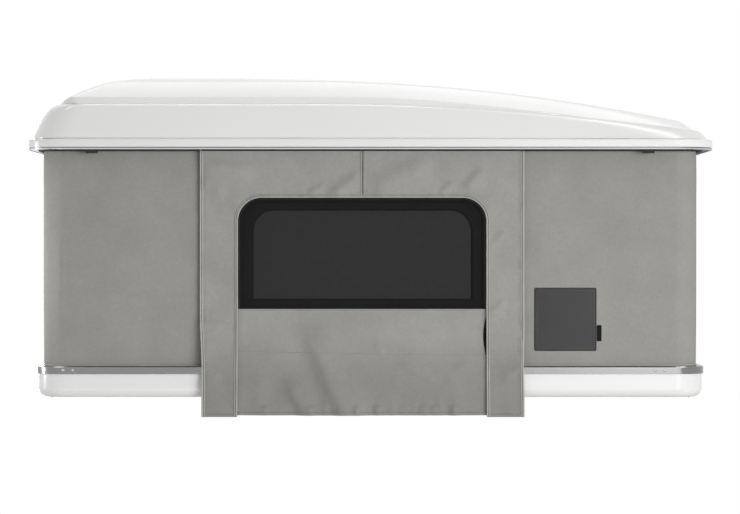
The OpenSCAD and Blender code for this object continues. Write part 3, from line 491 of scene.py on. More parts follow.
# lifts a ring by its shares of ledge, riser along the sides, riser at the high end, top edge and crown
def roofRing(insets, highCorner, shares, drawn):
    ledgeShare, riserShare, endShare, edgeShare, crownShare = shares
    riser, riserEnd = roofForm["riser"]
    blendEnd, blend = roofForm["endBlend"]
    ring = []
    for x, y in roofPlan(*(v + drawn for v in insets), highCorner - drawn, cornerAt(insets[0]) - drawn):
        atEnd = ramp((roofForm["panel"][1] + blendEnd - roofForm["halfLength"] - x) / blend)
        z = roofForm["rim"] - drawn + ledgeShare * fallAlong(x, roofForm["ledge"])
        z += mix(riserShare, endShare, atEnd) * riser * ramp(1 - x / riserEnd)
        z += edgeShare * fallAlong(x, roofForm["edge"]) + crownShare * fallAlong(x, roofForm["crown"])
        ring.append((x, y, z))
    return ring


# how far in the shoulder lies at a share of its height
def shoulderIn(share, far, full):
    return mix(roofForm["step"], far, 1 - (1 - share) ** (1 / full))


def roofRings(drawn=0.0):
    panel, top, bevel = roofForm["panel"], roofForm["top"], roofForm["bevel"]
    panelCorner, topCorner = roofForm["panelCorner"], roofForm["topCorner"]
    sides = list(zip(roofForm["shoulder"], roofForm["fullness"]))
    rings = []
    # a fine groove runs above the rim, and the slope of the long sides ends in a bevel below the ledge
    for share, reach in [(share, 0) for share in roofForm["slope"]] + bevel:
        groove = roofForm["groove"] if share < roofForm["grooveTop"] else 0
        insets = [shoulderIn(share, *side) + groove for side in sides]
        if reach:
            insets[0] = shoulderIn(bevel[0][0], *sides[0]) + reach
        rings.append(roofRing(insets, cornerAt(insets[0]), (share, 0, 0, 0, 0), drawn))
    foot = [a - b for a, b in zip(panel, roofForm["foot"])]
    footCorner = panelCorner + roofForm["foot"][0]
    rings.append(roofRing(between(insets, foot, 0.5), mix(cornerAt(insets[0]), footCorner, 0.5),
                          (1, 0, roofForm["footRise"], 0, 0), drawn))
    # close rings at the foot and the head of the riser keep both its edges crisp
    for t, rise, endRise in roofForm["riserRings"]:
        rings.append(roofRing(between(foot, panel, t), mix(footCorner, panelCorner, t),
                              (1, rise, endRise, 0, 0), drawn))
    for t in roofForm["flank"]:
        q = 1 - (1 - t) ** roofForm["flankPower"]
        rings.append(roofRing(between(panel, top, t), mix(panelCorner, topCorner, t),
                              (1 - q, 1 - q, 1 - q, q, 0), drawn))
    for t in roofForm["crownRings"]:
        q = 1 - (1 - t) ** roofForm["crownPower"]
        rings.append(roofRing(between(top, roofForm["crownReach"], t), topCorner, (0, 0, 0, 1 - q, q), drawn))
    return rings


# strips from side to side close the roof's last ring, so that the crown runs on without a crease
def roofCap(count, ends=23):
    mirror = count - ends - 1
    turn = count // 2 - ends - 2
    strips = [(i, i + 1, mirror - i - 1, mirror - i) for i in range(1, turn)]
    return strips + [range(turn, mirror - turn + 1), [*range(mirror - 1, count), 0, 1]]


rimRings = []
for inset, z in roofForm["rimRings"]:
    corner = roofForm["corner"] - inset
    rimRings.append([(x, y, z) for x, y in roofPlan(inset, inset, inset, corner, corner)])
points, faces = closeRings(rimRings + roofRings(), roofCap(len(rimRings[0])))
roofSkin = makePiece("roofSkin", points, faces, gelcoat, "roof", thickness=roofForm["wall"])
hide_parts("roof_shell")
print("roof skin made,", len(roofSkin.data.polygons), "faces")


def foldsDown(*made):
    for piece in made:
        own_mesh(piece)


wall = {"halfLength": 1000.0, "halfWidth": 600.0, "corner": 70.0, "foot": 94.6, "head": 755.4, "cloth": 1.2,
        "cell": 11.5, "rows": 60, "slack": 5.0, "slackSize": 190, "fine": 2.4, "fineSize": 80, "pull": 4.4,
        "pullSize": 62, "belly": 1.2, "endSlack": 0.3, "heldSlack": 0.15, "letGo": 90}
door = {"x": -24.0, "width": 984.0, "windowWidth": 759.0, "windowHeight": 340.0, "windowCorner": 73.0,
        "sill": 269.0, "hem": -57.0, "slope": 0.115, "cutBeyond": 12.0, "head": 755.2,
        "panelOut": 5.1, "surroundOut": 7.5, "bindingOut": 9.6, "tapeOut": 5.0, "cloth": 1.4,
        "netSide": 46.0, "netTop": 40.0, "netFoot": 30.0, "netCorner": 64.0, "netLap": 6}
endWindow = {"width": 620.0, "height": 300.0, "corner": 73.0, "sill": 305.0, "border": 40.0, "step": 9.0,
             "loose": 0.6, "netLap": (1.012, 1.02)}
doorHalf, windowHalf = door["width"] / 2, door["windowWidth"] / 2
doorTop = door["sill"] + door["windowHeight"]
arcFoot = doorTop - door["windowCorner"]
surroundFace, panelFace = door["surroundOut"] + door["cloth"], door["panelOut"] + door["cloth"]
doorCut = (door["windowWidth"] + 2 * door["cutBeyond"], door["windowHeight"] + 2 * door["cutBeyond"],
           door["windowCorner"] + door["cutBeyond"], True)
doorCutMid = door["sill"] + door["windowHeight"] / 2
endCut = (endWindow["width"], endWindow["height"], endWindow["corner"], False)
endCutMid = endWindow["sill"] + endWindow["height"] / 2


# slack of the wall cloth: how far it stands out of its flat place, hold takes it away beside the windows
def wallSlack(along, z, hold):
    t = (z - wall["foot"]) / (wall["head"] - wall["foot"])
    held = min(1.0, 5 * t, 7 * (1 - t))
    soft = 0.5 + 0.7 * lumps(along + 0.35 * z, 0, 0.7 * z, wall["slackSize"])
    fine = 0.5 + lumps(along - 0.2 * z, 40, 0.4 * z, wall["fineSize"])
    pull = 0.6 + lumps(along + 0.8 * z, 90, 0.2 * z, wall["pullSize"])
    pull *= ramp((t - 0.72) / 0.22) * ramp((1 - t) / 0.05)
    loose = held * (wall["slack"] * soft + wall["fine"] * fine) + wall["pull"] * pull
    return hold * (loose + wall["belly"] * math.sin(math.pi * min(1, t)))


# share of its slack the wall keeps: little behind a door or beside an end window, and less at the ends
def slackShare(x, y, z, nx, ny):
    share = mix(1, wall["endSlack"], ramp(abs(nx) / 0.6))
    if abs(ny) > 0.9:
        beyond = abs(x - door["x"]) - doorHalf + 10
    elif abs(nx) > 0.9:
        beyond = max(abs(y) - endWindow["width"] / 2, abs(z - endCutMid) - endWindow["height"] / 2) - 12
    else:
        return share
    return share * mix(wall["heldSlack"], 1, ramp(beyond / wall["letGo"]))


# the wall in plan: points with the direction outwards
def wallLine():
    a, b, r = wall["halfLength"], wall["halfWidth"], wall["corner"]
    legs = [((-a + r, -b), (a - r, -b)), ((a, -b + r), (a, b - r)),
            ((a - r, b), (-a + r, b)), ((-a, b - r), (-a, -b + r))]
    centres = [(a - r, -b + r, -90), (a - r, b - r, 0), (-a + r, b - r, 90), (-a + r, -b + r, 180)]
    line = []
    for (p, q), (cx, cy, start) in zip(legs, centres):
        count = int(math.hypot(q[0] - p[0], q[1] - p[1]) / wall["cell"])
        nx, ny = math.cos(math.radians(start)), math.sin(math.radians(start))
        line += [(*between(p, q, i / count), nx, ny) for i in range(count)]
        for i in range(12):
            nx, ny = math.cos(math.radians(start + 90 * i / 12)), math.sin(math.radians(start + 90 * i / 12))
            line.append((cx + r * nx, cy + r * ny, nx, ny))
    return line


def insideOutline(u, v, width, height, radius, square):
    w, h = width / 2, height / 2
    if abs(u) > w or abs(v) > h:
        return False
    if abs(u) > w - radius and abs(v) > h - radius and not (square and v < 0):
        return math.hypot(abs(u) - w + radius, abs(v) - h + radius) <= radius
    return True


# where a point of the wall lies against the nearest window: its place from the window's middle, and the cut
def cutAt(x, y, z, nx, ny):
    if abs(ny) > 0.9:
        return x - door["x"], z - doorCutMid, doorCut
    if abs(nx) > 0.9:
        return y, z - endCutMid, endCut
    return None


# points near a window's cut are drawn to its line, and the faces inside it are left out
line = wallLine()
cutPaths = {True: outline(*doorCut, step=2.0), False: outline(*endCut, step=2.0)}
points = []
travelled = 0.0
across = wall["rows"] + 1
for i, (x, y, nx, ny) in enumerate(line):
    if i:
        travelled += math.hypot(x - line[i - 1][0], y - line[i - 1][1])
    for j in range(across):
        z = mix(wall["foot"], wall["head"], j / wall["rows"])
        px, py, pz = x, y, z
        place = cutAt(x, y, z, nx, ny)
        if place:
            u, v, cut = place
            su, sv = min(cutPaths[cut[3]], key=lambda p: (p[0] - u) ** 2 + (p[1] - v) ** 2)
            if math.hypot(su - u, sv - v) < 0.52 * wall["cell"]:
                px, py = (px + su - u, py) if cut[3] else (px, py + su - u)
                pz = z + sv - v
        out = wallSlack(travelled, pz, slackShare(px, py, pz, nx, ny))
        points.append((px + nx * out, py + ny * out, pz))
faces = []
for face in gridFaces(len(line), across, wrap=True):
    mid = [sum(points[k][axis] for k in face) / 4 for axis in range(3)]
    place = cutAt(*mid, *line[face[0] // across][2:])
    if not (place and insideOutline(*place[:2], *place[2])):
        faces.append(face)
wallCloth = makePiece("wallCloth", points, faces, tentCloth, thickness=wall["cloth"])
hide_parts("wall_fabric")
print("wall cloth made,", len(wallCloth.data.polygons), "faces")

# cord sewn along the foot of the wall, it sits on the rail; its pale tape is partly a painted highlight
cord = {"round": 2.2, "rise": 2.4, "out": 0.9, "sides": 8}
turns = [2 * math.pi * k / cord["sides"] for k in range(cord["sides"])]
cordProfile = [(cord["rise"] + cord["round"] * math.sin(a), cord["out"] + cord["round"] * math.cos(a))
               for a in turns]


def onCord(i, a, o):
    x, y, nx, ny = line[i]
    return (x + nx * o, y + ny * o, wall["foot"] + a)


footCord = makePiece("wallFootCord", *sweep(len(line), cordProfile, onCord, closed=True), paleTape)

legHeights = [mix(door["hem"], arcFoot, i / 110) for i in range(111)]


# the opening's edge from the left hem over the top to the right hem: point, way outwards, matching outer point
def openingEdge():
    w, r = windowHalf, door["windowCorner"]
    left = [((-w, z), (-1.0, 0.0), (-doorHalf, z)) for z in legHeights]
    for i in range(1, 25):
        a, t = math.pi / 2 * i / 24, 2 * i / 24
        outer = (-doorHalf, mix(arcFoot, door["head"], t))
        if t > 1:
            outer = (mix(-doorHalf, -w + r, t - 1), door["head"])
        arc = (-w + r * (1 - math.cos(a)), arcFoot + r * math.sin(a))
        left.append((arc, (-math.cos(a), math.sin(a)), outer))
    for i in range(1, 51):
        x = mix(-w + r, 0, i / 50)
        left.append(((x, doorTop), (0.0, 1.0), (x, door["head"])))
    return left + [((-p[0], p[1]), (-n[0], n[1]), (-q[0], q[1])) for p, n, q in reversed(left[:-1])]


# how far the door has swung out at a height, below the sill
def hang(z):
    return door["slope"] * max(0.0, door["sill"] - z)


# a short pull in the cloth between two points: steep on one side, gentle on the other, fading at both ends
def pullAt(x, z, pull):
    (x0, z0), (x1, z1), steep, gentle, high = pull
    span = math.hypot(x1 - x0, z1 - z0)
    t = ((x - x0) * (x1 - x0) + (z - z0) * (z1 - z0)) / span ** 2
    aside = ((x - x0) * (z1 - z0) - (z - z0) * (x1 - x0)) / span
    fade = ramp((t + 0.2) / 0.4) * ramp((1.2 - t) / 0.4)
    return high * fade * math.exp(-(aside / (gentle if aside > 0 else steep)) ** 2)


# a fold that hangs down a line of (z, x) points and grows towards the hem, steep on its left side
def foldAt(x, z, fold):
    path, steep, gentle, high, grow = fold
    crest = path[0][1] if z > path[0][0] else path[-1][1]
    for (z0, x0), (z1, x1) in zip(path[:-1], path[1:]):
        if z1 <= z <= z0:
            crest = mix(x0, x1, (z0 - z) / (z0 - z1))
    aside = x - crest
    return high * ramp((path[0][0] - z) / grow) * math.exp(-(aside / (steep if aside < 0 else gentle)) ** 2)


surroundCloth = {
    "pulls": [  # from, to, steep side, gentle side, height
        ((-96, 612), (-10, 674), 18, 26, 10.0), ((-165, 618), (-118, 642), 10, 15, 5.5),
        ((40, 635), (195, 705), 38, 48, 13.0), ((-484, 662), (-420, 626), 14, 20, 9.0),
        ((-470, 706), (-350, 692), 18, 26, 8.0), ((318, 640), (366, 690), 14, 26, 9.0),
        ((388, 455), (428, 500), 9, 18, 4.6), ((386, 250), (430, 292), 10, 20, 4.4),
        ((240, 620), (276, 652), 9, 15, 5.0), ((-486, 250), (-430, 215), 10, 20, 5.0),
        ((-484, 96), (-436, 62), 12, 24, 6.0), ((486, 100), (436, 58), 12, 26, 5.6)],
    "pucker": 34.0, "puckerHigh": 4.4, "puckerReach": 15.0, "wave": 1.6, "waveLength": 74, "rows": 25,
    "narrowing": {"left": 7.0, "right": 2.0}, "wobble": 1.2}  # how far the columns draw in towards the hem
panelCloth = {
    "folds": [  # line of (z, x), steep side, gentle side, height, length over which it grows
        ([(240, -184), (204, -160), (103, -113), (-12, -66), (-60, -54)], 40, 80, 25.0, 110),
        ([(86, -224), (23, -206), (-31, -174), (-60, -162)], 30, 50, 19.0, 80),
        ([(205, 36), (120, 96), (30, 140), (-60, 158)], 50, 66, 4.0, 90),
        ([(150, 228), (60, 262), (-60, 282)], 36, 50, 4.0, 80),
        ([(120, -330), (40, -322), (-60, -318)], 24, 28, 3.0, 80)],
    "pulls": [((120, 104), (222, 50), 26, 14, 6.5), ((290, 96), (372, 30), 24, 13, 6.0),
              ((40, 158), (64, 140), 7, 7, 3.0)],
    "hemDents": (-293, -156, -14, 44, 183, 219, 277),
    "dentPull": (8, 15, 5.2),  # steep side, gentle side, height
    "crease": (139.0, 127.0),  # height of the pressed crease at the left and right edge
    "creaseSize": (1.2, 0.25),
    "shadeGusset": {"foot": 98.0, "out": 2.6, "lean": 0.8, "beyond": (-11.5, -3, 6, 11), "rows": 24, "cloth": 0.8},
    "pucker": 58.0, "puckerHigh": 6.0, "rows": (160, 110), "beyond": 12, "foot": door["hem"] + 5, "cloth": 1.2,
    "curl": {"foot": 106, "span": door["sill"] - 108, "reach": 46, "aside": 23.0, "sink": 1.6}}


# sharp little ridges along a seam, about size mm apart, from 0 to 1
def ridges(along, seed, size):
    return 1 - min(1.0, 2.2 * abs(lumps(along, seed, 0, size)))


# folds of the door's columns and the band over the arch: pulls, soft waves, puckers along the sewn edges
def columnFold(x, z):
    low = ramp((door["sill"] - z) / 250)
    turn = 2 * math.pi * (x + 0.25 * z) / surroundCloth["waveLength"]
    waves = surroundCloth["wave"] * low * (0.5 + 0.5 * math.cos(turn))
    soft = 1.5 * (1 + lumps(x, 10, 0.4 * z, 66)) * (0.6 + 0.4 * low)
    soft += 2.0 * (1 + lumps(0.7 * x, 33, 0.5 * z, 150))
    reach = surroundCloth["puckerReach"]
    sewn = math.exp(-abs(doorHalf - abs(x)) / reach)
    if z < doorTop:
        sewn += 0.7 * math.exp(-abs(abs(x) - windowHalf) / reach)
    pucker = ridges(z, math.copysign(80, x), surroundCloth["pucker"]) * sewn
    if abs(x) < windowHalf - 40 and z > doorTop - 20:
        pucker += ridges(x, 60, surroundCloth["pucker"]) * math.exp(-abs(z - doorTop) / reach)
    pulls = sum(pullAt(x, z, pull) for pull in surroundCloth["pulls"])
    return waves + soft + surroundCloth["puckerHigh"] * pucker + pulls


# folds of the lower panel, flat at its top and under the columns: hanging folds, pulls, puckers at the hem
def panelFold(x, z):
    side = ramp((windowHalf - 10 - abs(x)) / 90)
    soft = 2.4 * (1 + lumps(x + 0.5 * z, 5, 0.6 * z, 95)) * ramp((door["sill"] - z) / 90)
    hem = panelCloth["puckerHigh"] * ridges(x, 300, panelCloth["pucker"]) * ramp((door["hem"] + 74 - z) / 70)
    folds = sum(foldAt(x, z, fold) for fold in panelCloth["folds"])
    dents = sum(pullAt(x, z, ((at, door["hem"] - 3), (at - 3, door["hem"] + 31), *panelCloth["dentPull"]))
                for at in panelCloth["hemDents"])
    return side * (soft + 0.8 + hem + folds + dents + sum(pullAt(x, z, pull) for pull in panelCloth["pulls"]))


# outer edge of the columns: drawn in and a little uneven below the sill
def outerEdge(x, z):
    inward = surroundCloth["narrowing"]["left" if x < 0 else "right"] * ramp((door["sill"] - z) / 200)
    wobble = surroundCloth["wobble"] * lumps(0, x, z, 90) * ramp((door["sill"] - z + 60) / 120)
    return (x + math.copysign(inward, -x) + wobble, z)


def doorPoint(face, x, z, out):
    return (door["x"] + x, face * (wall["halfWidth"] + out + hang(z) + columnFold(x, z)), z)


def panelPoint(face, x, z, out):
    return (door["x"] + x, face * (wall["halfWidth"] + panelFace + out + hang(z) + panelFold(x, z)), z)


# cross-section of a thread or ridge: two feet sunk a little, and a crest
def crestAt(spot, aside, top):
    return [tuple(spot - aside - 0.3 * top), tuple(spot + top), tuple(spot + aside - 0.3 * top)]


# thread dashes along lines: each a short low ridge
dash = {"length": 4.2, "gap": 1.6, "wide": 1.1, "high": 0.5,
        "faces": [(0, 3, 4, 1), (1, 4, 5, 2), (0, 1, 2), (5, 4, 3), (3, 0, 2, 5)]}


def stitchPieces(runs, lift):
    parts, top = [], lift * dash["high"]
    for run in runs:
        distance = 0.0
        for p, q in zip(map(Vector, run[:-1]), map(Vector, run[1:])):
            span = (q - p).length
            if span < 1e-6:
                continue
            aside = (q - p).normalized().cross(lift).normalized() * dash["wide"] / 2
            while distance < span:
                start, end = (p.lerp(q, min(1.0, far / span)) for far in (distance, distance + dash["length"]))
                parts.append((crestAt(start, aside, top) + crestAt(end, aside, top), dash["faces"]))
                distance += dash["length"] + dash["gap"]
            distance -= span
    return joined(parts)


# one low ridge along a whole line, for a seam, a crease or a welded line
def ridgeLine(run, lift, wide, high):
    points = []
    for i, spot in enumerate(run):
        along = Vector(run[min(i + 1, len(run) - 1)]) - Vector(run[max(i - 1, 0)])
        points += crestAt(Vector(spot), along.cross(lift).normalized() * wide / 2, lift * high)
    last = 3 * (len(run) - 1)
    under = [(i + 3, i, i + 2, i + 5) for i in range(0, last, 3)]
    return points, gridFaces(len(run), 3) + under + [(0, 1, 2), (last + 2, last + 1, last)]


edge = openingEdge()
# profiles of the folded edges as (across, out), and where the threads run on them
sewing = {
    "binding": [(-1.4, -1.0), (-1.9, 0.4), (-0.8, 2.0), (0.9, 2.1), (2.2, 1.0), (4.8, 0.8), (6.0, 1.7),
                (7.6, 1.7), (8.8, 0.1)],
    "rolled": [(-1.4, -0.8), (-1.8, 0.5), (-0.6, 1.9), (1.2, 2.0), (2.6, 0.9), (4.8, 0.8), (5.8, 1.7),
               (7.2, 1.7), (8.4, 0.1)],
    "hem": [(-0.6, -1.8), (-1.0, 0.6), (0.6, 1.1), (6.5, 1.0), (7.6, 0.3), (7.6, -0.2)],
    "seam": [(-6.0, -0.4), (-5.6, 1.0), (0.6, 1.4), (0.9, -0.4)],
    "rolledOut": 0.4, "hemOut": 0.3, "threadOut": 0.6, "sunkAt": 4.4, "sunkOnBinding": 1.1, "sunkOnRoll": 0.95,
    "sunkSize": (2.6, 0.4), "besideEdge": 14.0, "aboveHem": 9.5,
    "seamThread": (2.2, 0.9), "seamSize": (3.2, 0.4)}
zipper = {"tape": (7.5, 0.0, -6.0, -10.5, -15.0), "cloth": 0.8, "sink": 4.6, "tooth": 2.6, "lowTooth": 0.62,
          "coil": [(-6.6, 0.0), (-6.2, 0.9), (-5.0, 1.2), (-3.8, 0.9), (-3.4, 0.0)]}


def makeSurround(face, tag):
    back, out = face > 0, Vector((0, face, 0))
    # two hanging columns joined over the window, rows closer together at the sewn edges
    rows = surroundCloth["rows"]
    shares = [0.5 - 0.5 * math.cos(math.pi * j / (rows - 1)) for j in range(rows)]
    points = [doorPoint(face, *between(p, outerEdge(*q), t), surroundFace) for p, n, q in edge for t in shares]
    surround = makePiece("doorSurround" + tag, points, gridFaces(len(edge), rows), doorCloth,
                         thickness=door["cloth"], flip=back)
    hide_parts("door_surround_" + tag.lower())

    # binding folded over the opening's edge, both its edges raised
    def onEdge(i, a, o):
        (x, z), (nx, nz), _ = edge[i]
        return doorPoint(face, x + a * nx, z + a * nz, door["bindingOut"] + o)

    binding = makePiece("doorBinding" + tag, *sweep(len(edge), sewing["binding"], onEdge), bindingTape,
                        flip=back)
    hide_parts("door_binding_" + tag.lower())

    # rolled pale edge along the outside of each column, its pale tone partly a painted highlight
    heights = legHeights + [mix(arcFoot, door["head"], i / 20) for i in range(1, 21)]
    legs = [(way, [outerEdge(-way * doorHalf, z) for z in heights]) for way in (1, -1)]
    parts = []
    for way, leg in legs:
        def onLeg(i, a, o, leg=leg, way=way):
            return doorPoint(face, leg[i][0] + way * a, leg[i][1], surroundFace + sewing["rolledOut"] + o)
        points, faces = sweep(len(leg), sewing["rolled"], onLeg)
        parts.append((points, faces if way == 1 else [tuple(reversed(f)) for f in faces]))
    outerRoll = makePiece("doorEdge" + tag, *joined(parts), paleTape, flip=back)

    # folded hem along the foot of both columns
    parts = []
    feet = [outerEdge(side * doorHalf, door["hem"])[0] for side in (-1, 1)]
    for x0, x1 in ((feet[0], -windowHalf), (windowHalf, feet[1])):
        def onHem(i, a, o, x0=x0, x1=x1):
            return doorPoint(face, mix(x0 + 0.5, x1 - 0.5, i / 20), door["hem"] + a,
                             surroundFace + sewing["hemOut"] + o)
        parts.append(sweep(21, sewing["hem"], onHem))
    hem = makePiece("doorHem" + tag, *joined(parts), doorCloth, flip=not back)

    # stitching: sunk in the binding and the rolled edges in darker thread as painted shade, raised beside the
    # edges and above the hems
    def besideLegs(aside, o):
        return [[doorPoint(face, x + way * aside, z, surroundFace + sewing["threadOut"] + o) for x, z in leg]
                for way, leg in legs]

    runs = [[onEdge(i, sewing["sunkAt"], sewing["sunkOnBinding"]) for i in range(len(edge))]]
    runs += besideLegs(sewing["sunkAt"], sewing["sunkOnRoll"])
    points, faces = joined(ridgeLine(run, out, *sewing["sunkSize"]) for run in runs)
    sunkStitching = makePiece("sunkStitching" + tag, points, faces, sunkThreadShade, flip=not back)
    runs = besideLegs(sewing["besideEdge"], 0)
    for x0, x1 in ((-doorHalf + 8, -windowHalf - 2), (windowHalf + 2, doorHalf - 8)):
        runs.append([doorPoint(face, mix(x0, x1, i / 16), door["hem"] + sewing["aboveHem"],
                               surroundFace + sewing["threadOut"]) for i in range(17)])
    stitching = makePiece("doorStitching" + tag, *stitchPieces(runs, out), threadCloth, flip=not back)

    # lapped seam above the arch; the dark thread along its edge is painted shadow
    def onSeam(i, a, o):
        return doorPoint(face, a, mix(doorTop + 7, door["head"] - 0.5, i / 24), surroundFace + o)

    seam = makePiece("doorSeam" + tag, *sweep(25, sewing["seam"], onSeam), doorCloth, flip=back)
    run = [onSeam(i, *sewing["seamThread"]) for i in range(25)]
    seamThread = makePiece("doorSeamLine" + tag, *ridgeLine(run, out, *sewing["seamSize"]), seamShadowThread,
                           flip=not back)

    # zip: black tape round the opening with a coil along it
    tapeEdge = [(p, n) for p, n, _ in edge if p[1] >= door["sill"] - 1.0]
    tapeEnd = door["sill"] + 1.0
    tapeEdge = [((-windowHalf, tapeEnd), (-1.0, 0.0)), *tapeEdge, ((windowHalf, tapeEnd), (1.0, 0.0))]
    points = []
    for (x, z), (nx, nz) in tapeEdge:
        for d in zipper["tape"]:
            lift = door["tapeOut"] + 1.0 - zipper["sink"] * ramp((-d - 5) / 10) + 0.15 * lumps(x, d, z, 30)
            points.append((door["x"] + x + d * nx, face * (wall["halfWidth"] + lift), z + d * nz))
    tape = makePiece("zipTape" + tag, points, gridFaces(len(tapeEdge), len(zipper["tape"])), blackCloth,
                     thickness=zipper["cloth"], flip=back)
    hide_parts("zip_tape_" + tag.lower())
    chain = []
    for (p, n), (p2, n2) in zip(tapeEdge[:-1], tapeEdge[1:]):
        count = max(1, int(math.hypot(p2[0] - p[0], p2[1] - p[1]) / zipper["tooth"]))
        chain += [between((*p, *n), (*p2, *n2), i / count) for i in range(count)]

    def onChain(i, a, o):
        x, z, nx, nz = chain[i]
        o *= 1.0 if i % 2 else zipper["lowTooth"]
        return (door["x"] + x + a * nx, face * (wall["halfWidth"] + door["tapeOut"] + 0.9 + o), z + a * nz)

    zipCoil = makePiece("zipCoil" + tag, *sweep(len(chain), zipper["coil"], onChain), tapeBlack, flip=back)

    tall = door["head"] - door["hem"]
    cutArea = (door["width"] - door["windowWidth"]) * tall + door["windowWidth"] * (door["head"] - doorTop)
    cutArea += cornerLoss(door["windowCorner"], 2)
    trimmings = [binding, outerRoll, hem, stitching, sunkStitching, seam, seamThread, tape, zipCoil]
    foldsDown(surround, *trimmings)


# lower panel: hangs behind the columns, its far edge curls away from the right-hand column
def makePanel(face, tag):
    back, out = face > 0, Vector((0, face, 0))
    (ni, nk), foot, curls, w = panelCloth["rows"], panelCloth["foot"], panelCloth["curl"], windowHalf
    points = []
    for i in range(ni):
        for k in range(nk):
            x = mix(-1, 1, i / (ni - 1)) * (w + panelCloth["beyond"])
            z = mix(foot, door["sill"], k / (nk - 1))
            curl = min(1.0, max(0.0, (z - curls["foot"]) / curls["span"]))
            curl = ramp((x - w) / curls["reach"] + 1) * math.sin(math.pi * curl) ** 0.6
            px, py, pz = panelPoint(face, x, z, -curls["sink"] * curl)
            points.append((px - curls["aside"] * curl, py, pz))
    panel = makePiece("doorPanel" + tag, points, gridFaces(ni, nk), doorCloth,
                      thickness=panelCloth["cloth"], flip=back)
    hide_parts("door_lower_panel_" + tag.lower())

    def onHem(i, a, o):
        return panelPoint(face, mix(-w + 1, w - 1, i / 99), foot + a, sewing["hemOut"] + o)

    panelHem = makePiece("panelHem" + tag, *sweep(100, sewing["hem"], onHem), doorCloth, flip=not back)
    # the pressed crease is drawn in the paler binding tape: a painted highlight along it
    left, right = panelCloth["crease"]
    run = [panelPoint(face, mix(-w + 2, w - 18, i / 150), mix(left, right, i / 150), 0.5) for i in range(151)]
    crease = makePiece("panelCrease" + tag, *ridgeLine(run, out, *panelCloth["creaseSize"]), bindingTape,
                       flip=not back)
    runs = [[panelPoint(face, mix(-w + 4, end, i / 120), z, 0.35) for i in range(121)]
            for end, z in ((w - 4, foot + sewing["aboveHem"]), (w - 22, door["sill"] - 5.0))]
    panelStitching = makePiece("panelStitching" + tag, *stitchPieces(runs, out), threadCloth, flip=not back)

    # black gusset behind the panel's curled edge, a dark sheet standing in for the shade in the gap
    strip, points = panelCloth["shadeGusset"], []
    for i in range(strip["rows"]):
        z = mix(strip["foot"], door["sill"] - 1, i / (strip["rows"] - 1))
        y = face * (wall["halfWidth"] + strip["out"] + strip["lean"] * hang(z))
        points += [(door["x"] + w + beyond, y, z) for beyond in strip["beyond"]]
    shadeGusset = makePiece("doorShadeGusset" + tag, points, gridFaces(strip["rows"], len(strip["beyond"])), blackCloth,
                       thickness=strip["cloth"], flip=not back)
    trimmings = [panelHem, panelStitching, crease, shadeGusset]
    foldsDown(panel, *trimmings)


# arch-headed ring about its own middle, with the same count of points whatever its size
def archRing(width, height, radius):
    w, h, r = width / 2, height / 2, radius
    turns = [math.pi / 2 * i / 16 for i in range(17)]
    arc = [(w - r + r * math.cos(a), h - r + r * math.sin(a)) for a in turns]
    ring = [(w, mix(-h, h - r, i / 20)) for i in range(20)] + arc
    ring += [(mix(w - r, -w + r, i / 40), h) for i in range(1, 40)]
    ring += [(-x, z) for x, z in reversed(arc)]
    ring += [(-w, mix(h - r, -h, i / 20)) for i in range(1, 21)]
    return ring + [(mix(-w, w, i / 48), -h) for i in range(1, 48)]


# the rings of a net are given as shares of the way to its middle
windowCloth = {"puff": 0.7, "sunk": 0.1, "border": 1.2, "net": 0.5, "netOut": 1.8, "sag": 2.6, "sagReach": 0.7,
               "doorRings": (0.0, 0.03, 0.12, 0.25, 0.4, 0.55, 0.7, 0.85, 0.97),
               "endRings": (0.0, 0.04, 0.15, 0.3, 0.5, 0.7, 0.9, 0.97)}


# border between two rings, a little puffed between its seams; place(across, z, out) gives the point
def borderGrid(outer, inner, steps, place):
    points = []
    for (u0, z0), (u1, z1) in zip(outer, inner):
        for t in (j / steps for j in range(steps + 1)):
            puff = windowCloth["puff"] * math.sin(math.pi * t) * (0.6 + 0.4 * lumps(u0, t, z0, 60))
            points.append(place(mix(u0, u1, t), mix(z0, z1, t), puff - windowCloth["sunk"]))
    return points, gridFaces(len(outer), steps + 1, wrap=True)


# net inside a ring, sagging inwards
def netRings(ring, wider, taller, shares, place):
    rings = []
    for t in shares:
        out = -windowCloth["netOut"] - windowCloth["sag"] * ramp(t / windowCloth["sagReach"])
        rings.append([place(u * wider * (1 - t), z * taller * (1 - t), out) for u, z in ring])
    return closeRings(rings)


# border of black cloth in the wall's window over a door, and the net inside it
def makeDoorWindow(face, tag):
    back, lap = face > 0, door["netLap"]
    cutW, cutH, cutR = doorCut[0] - 0.6, doorCut[1] - 0.6, doorCut[2] - 0.3
    netW = door["windowWidth"] - 2 * door["netSide"]
    netH = door["windowHeight"] - door["netFoot"] - door["netTop"]
    netMid = door["sill"] + door["netFoot"] + netH / 2
    netRing = archRing(netW, netH, door["netCorner"])
    outer = [(x, z + doorCutMid) for x, z in archRing(cutW, cutH, cutR)]
    inner = [(x, z + netMid) for x, z in netRing]

    def onWall(x, z, out):
        return (door["x"] + x, face * (wall["halfWidth"] + out), z)

    border = makePiece("windowBorder" + tag, *borderGrid(outer, inner, 7, onWall), blackCloth,
                       thickness=windowCloth["border"], flip=not back)
    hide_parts("window_border_" + tag.lower())
    netFaces = netRings(netRing, (netW + lap) / netW, (netH + lap) / netH, windowCloth["doorRings"],
                        lambda x, z, out: onWall(x, netMid + z, out))
    net = makePiece("windowNet" + tag, *netFaces, insectNet, thickness=windowCloth["net"], flip=back)
    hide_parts("window_mesh_" + tag.lower())
    foldsDown(border, net)


for face, tag in ((-1, "Front"), (1, "Rear")):
    makeSurround(face, tag)
    makePanel(face, tag)
    makeDoorWindow(face, tag)
    print("door made:", tag)

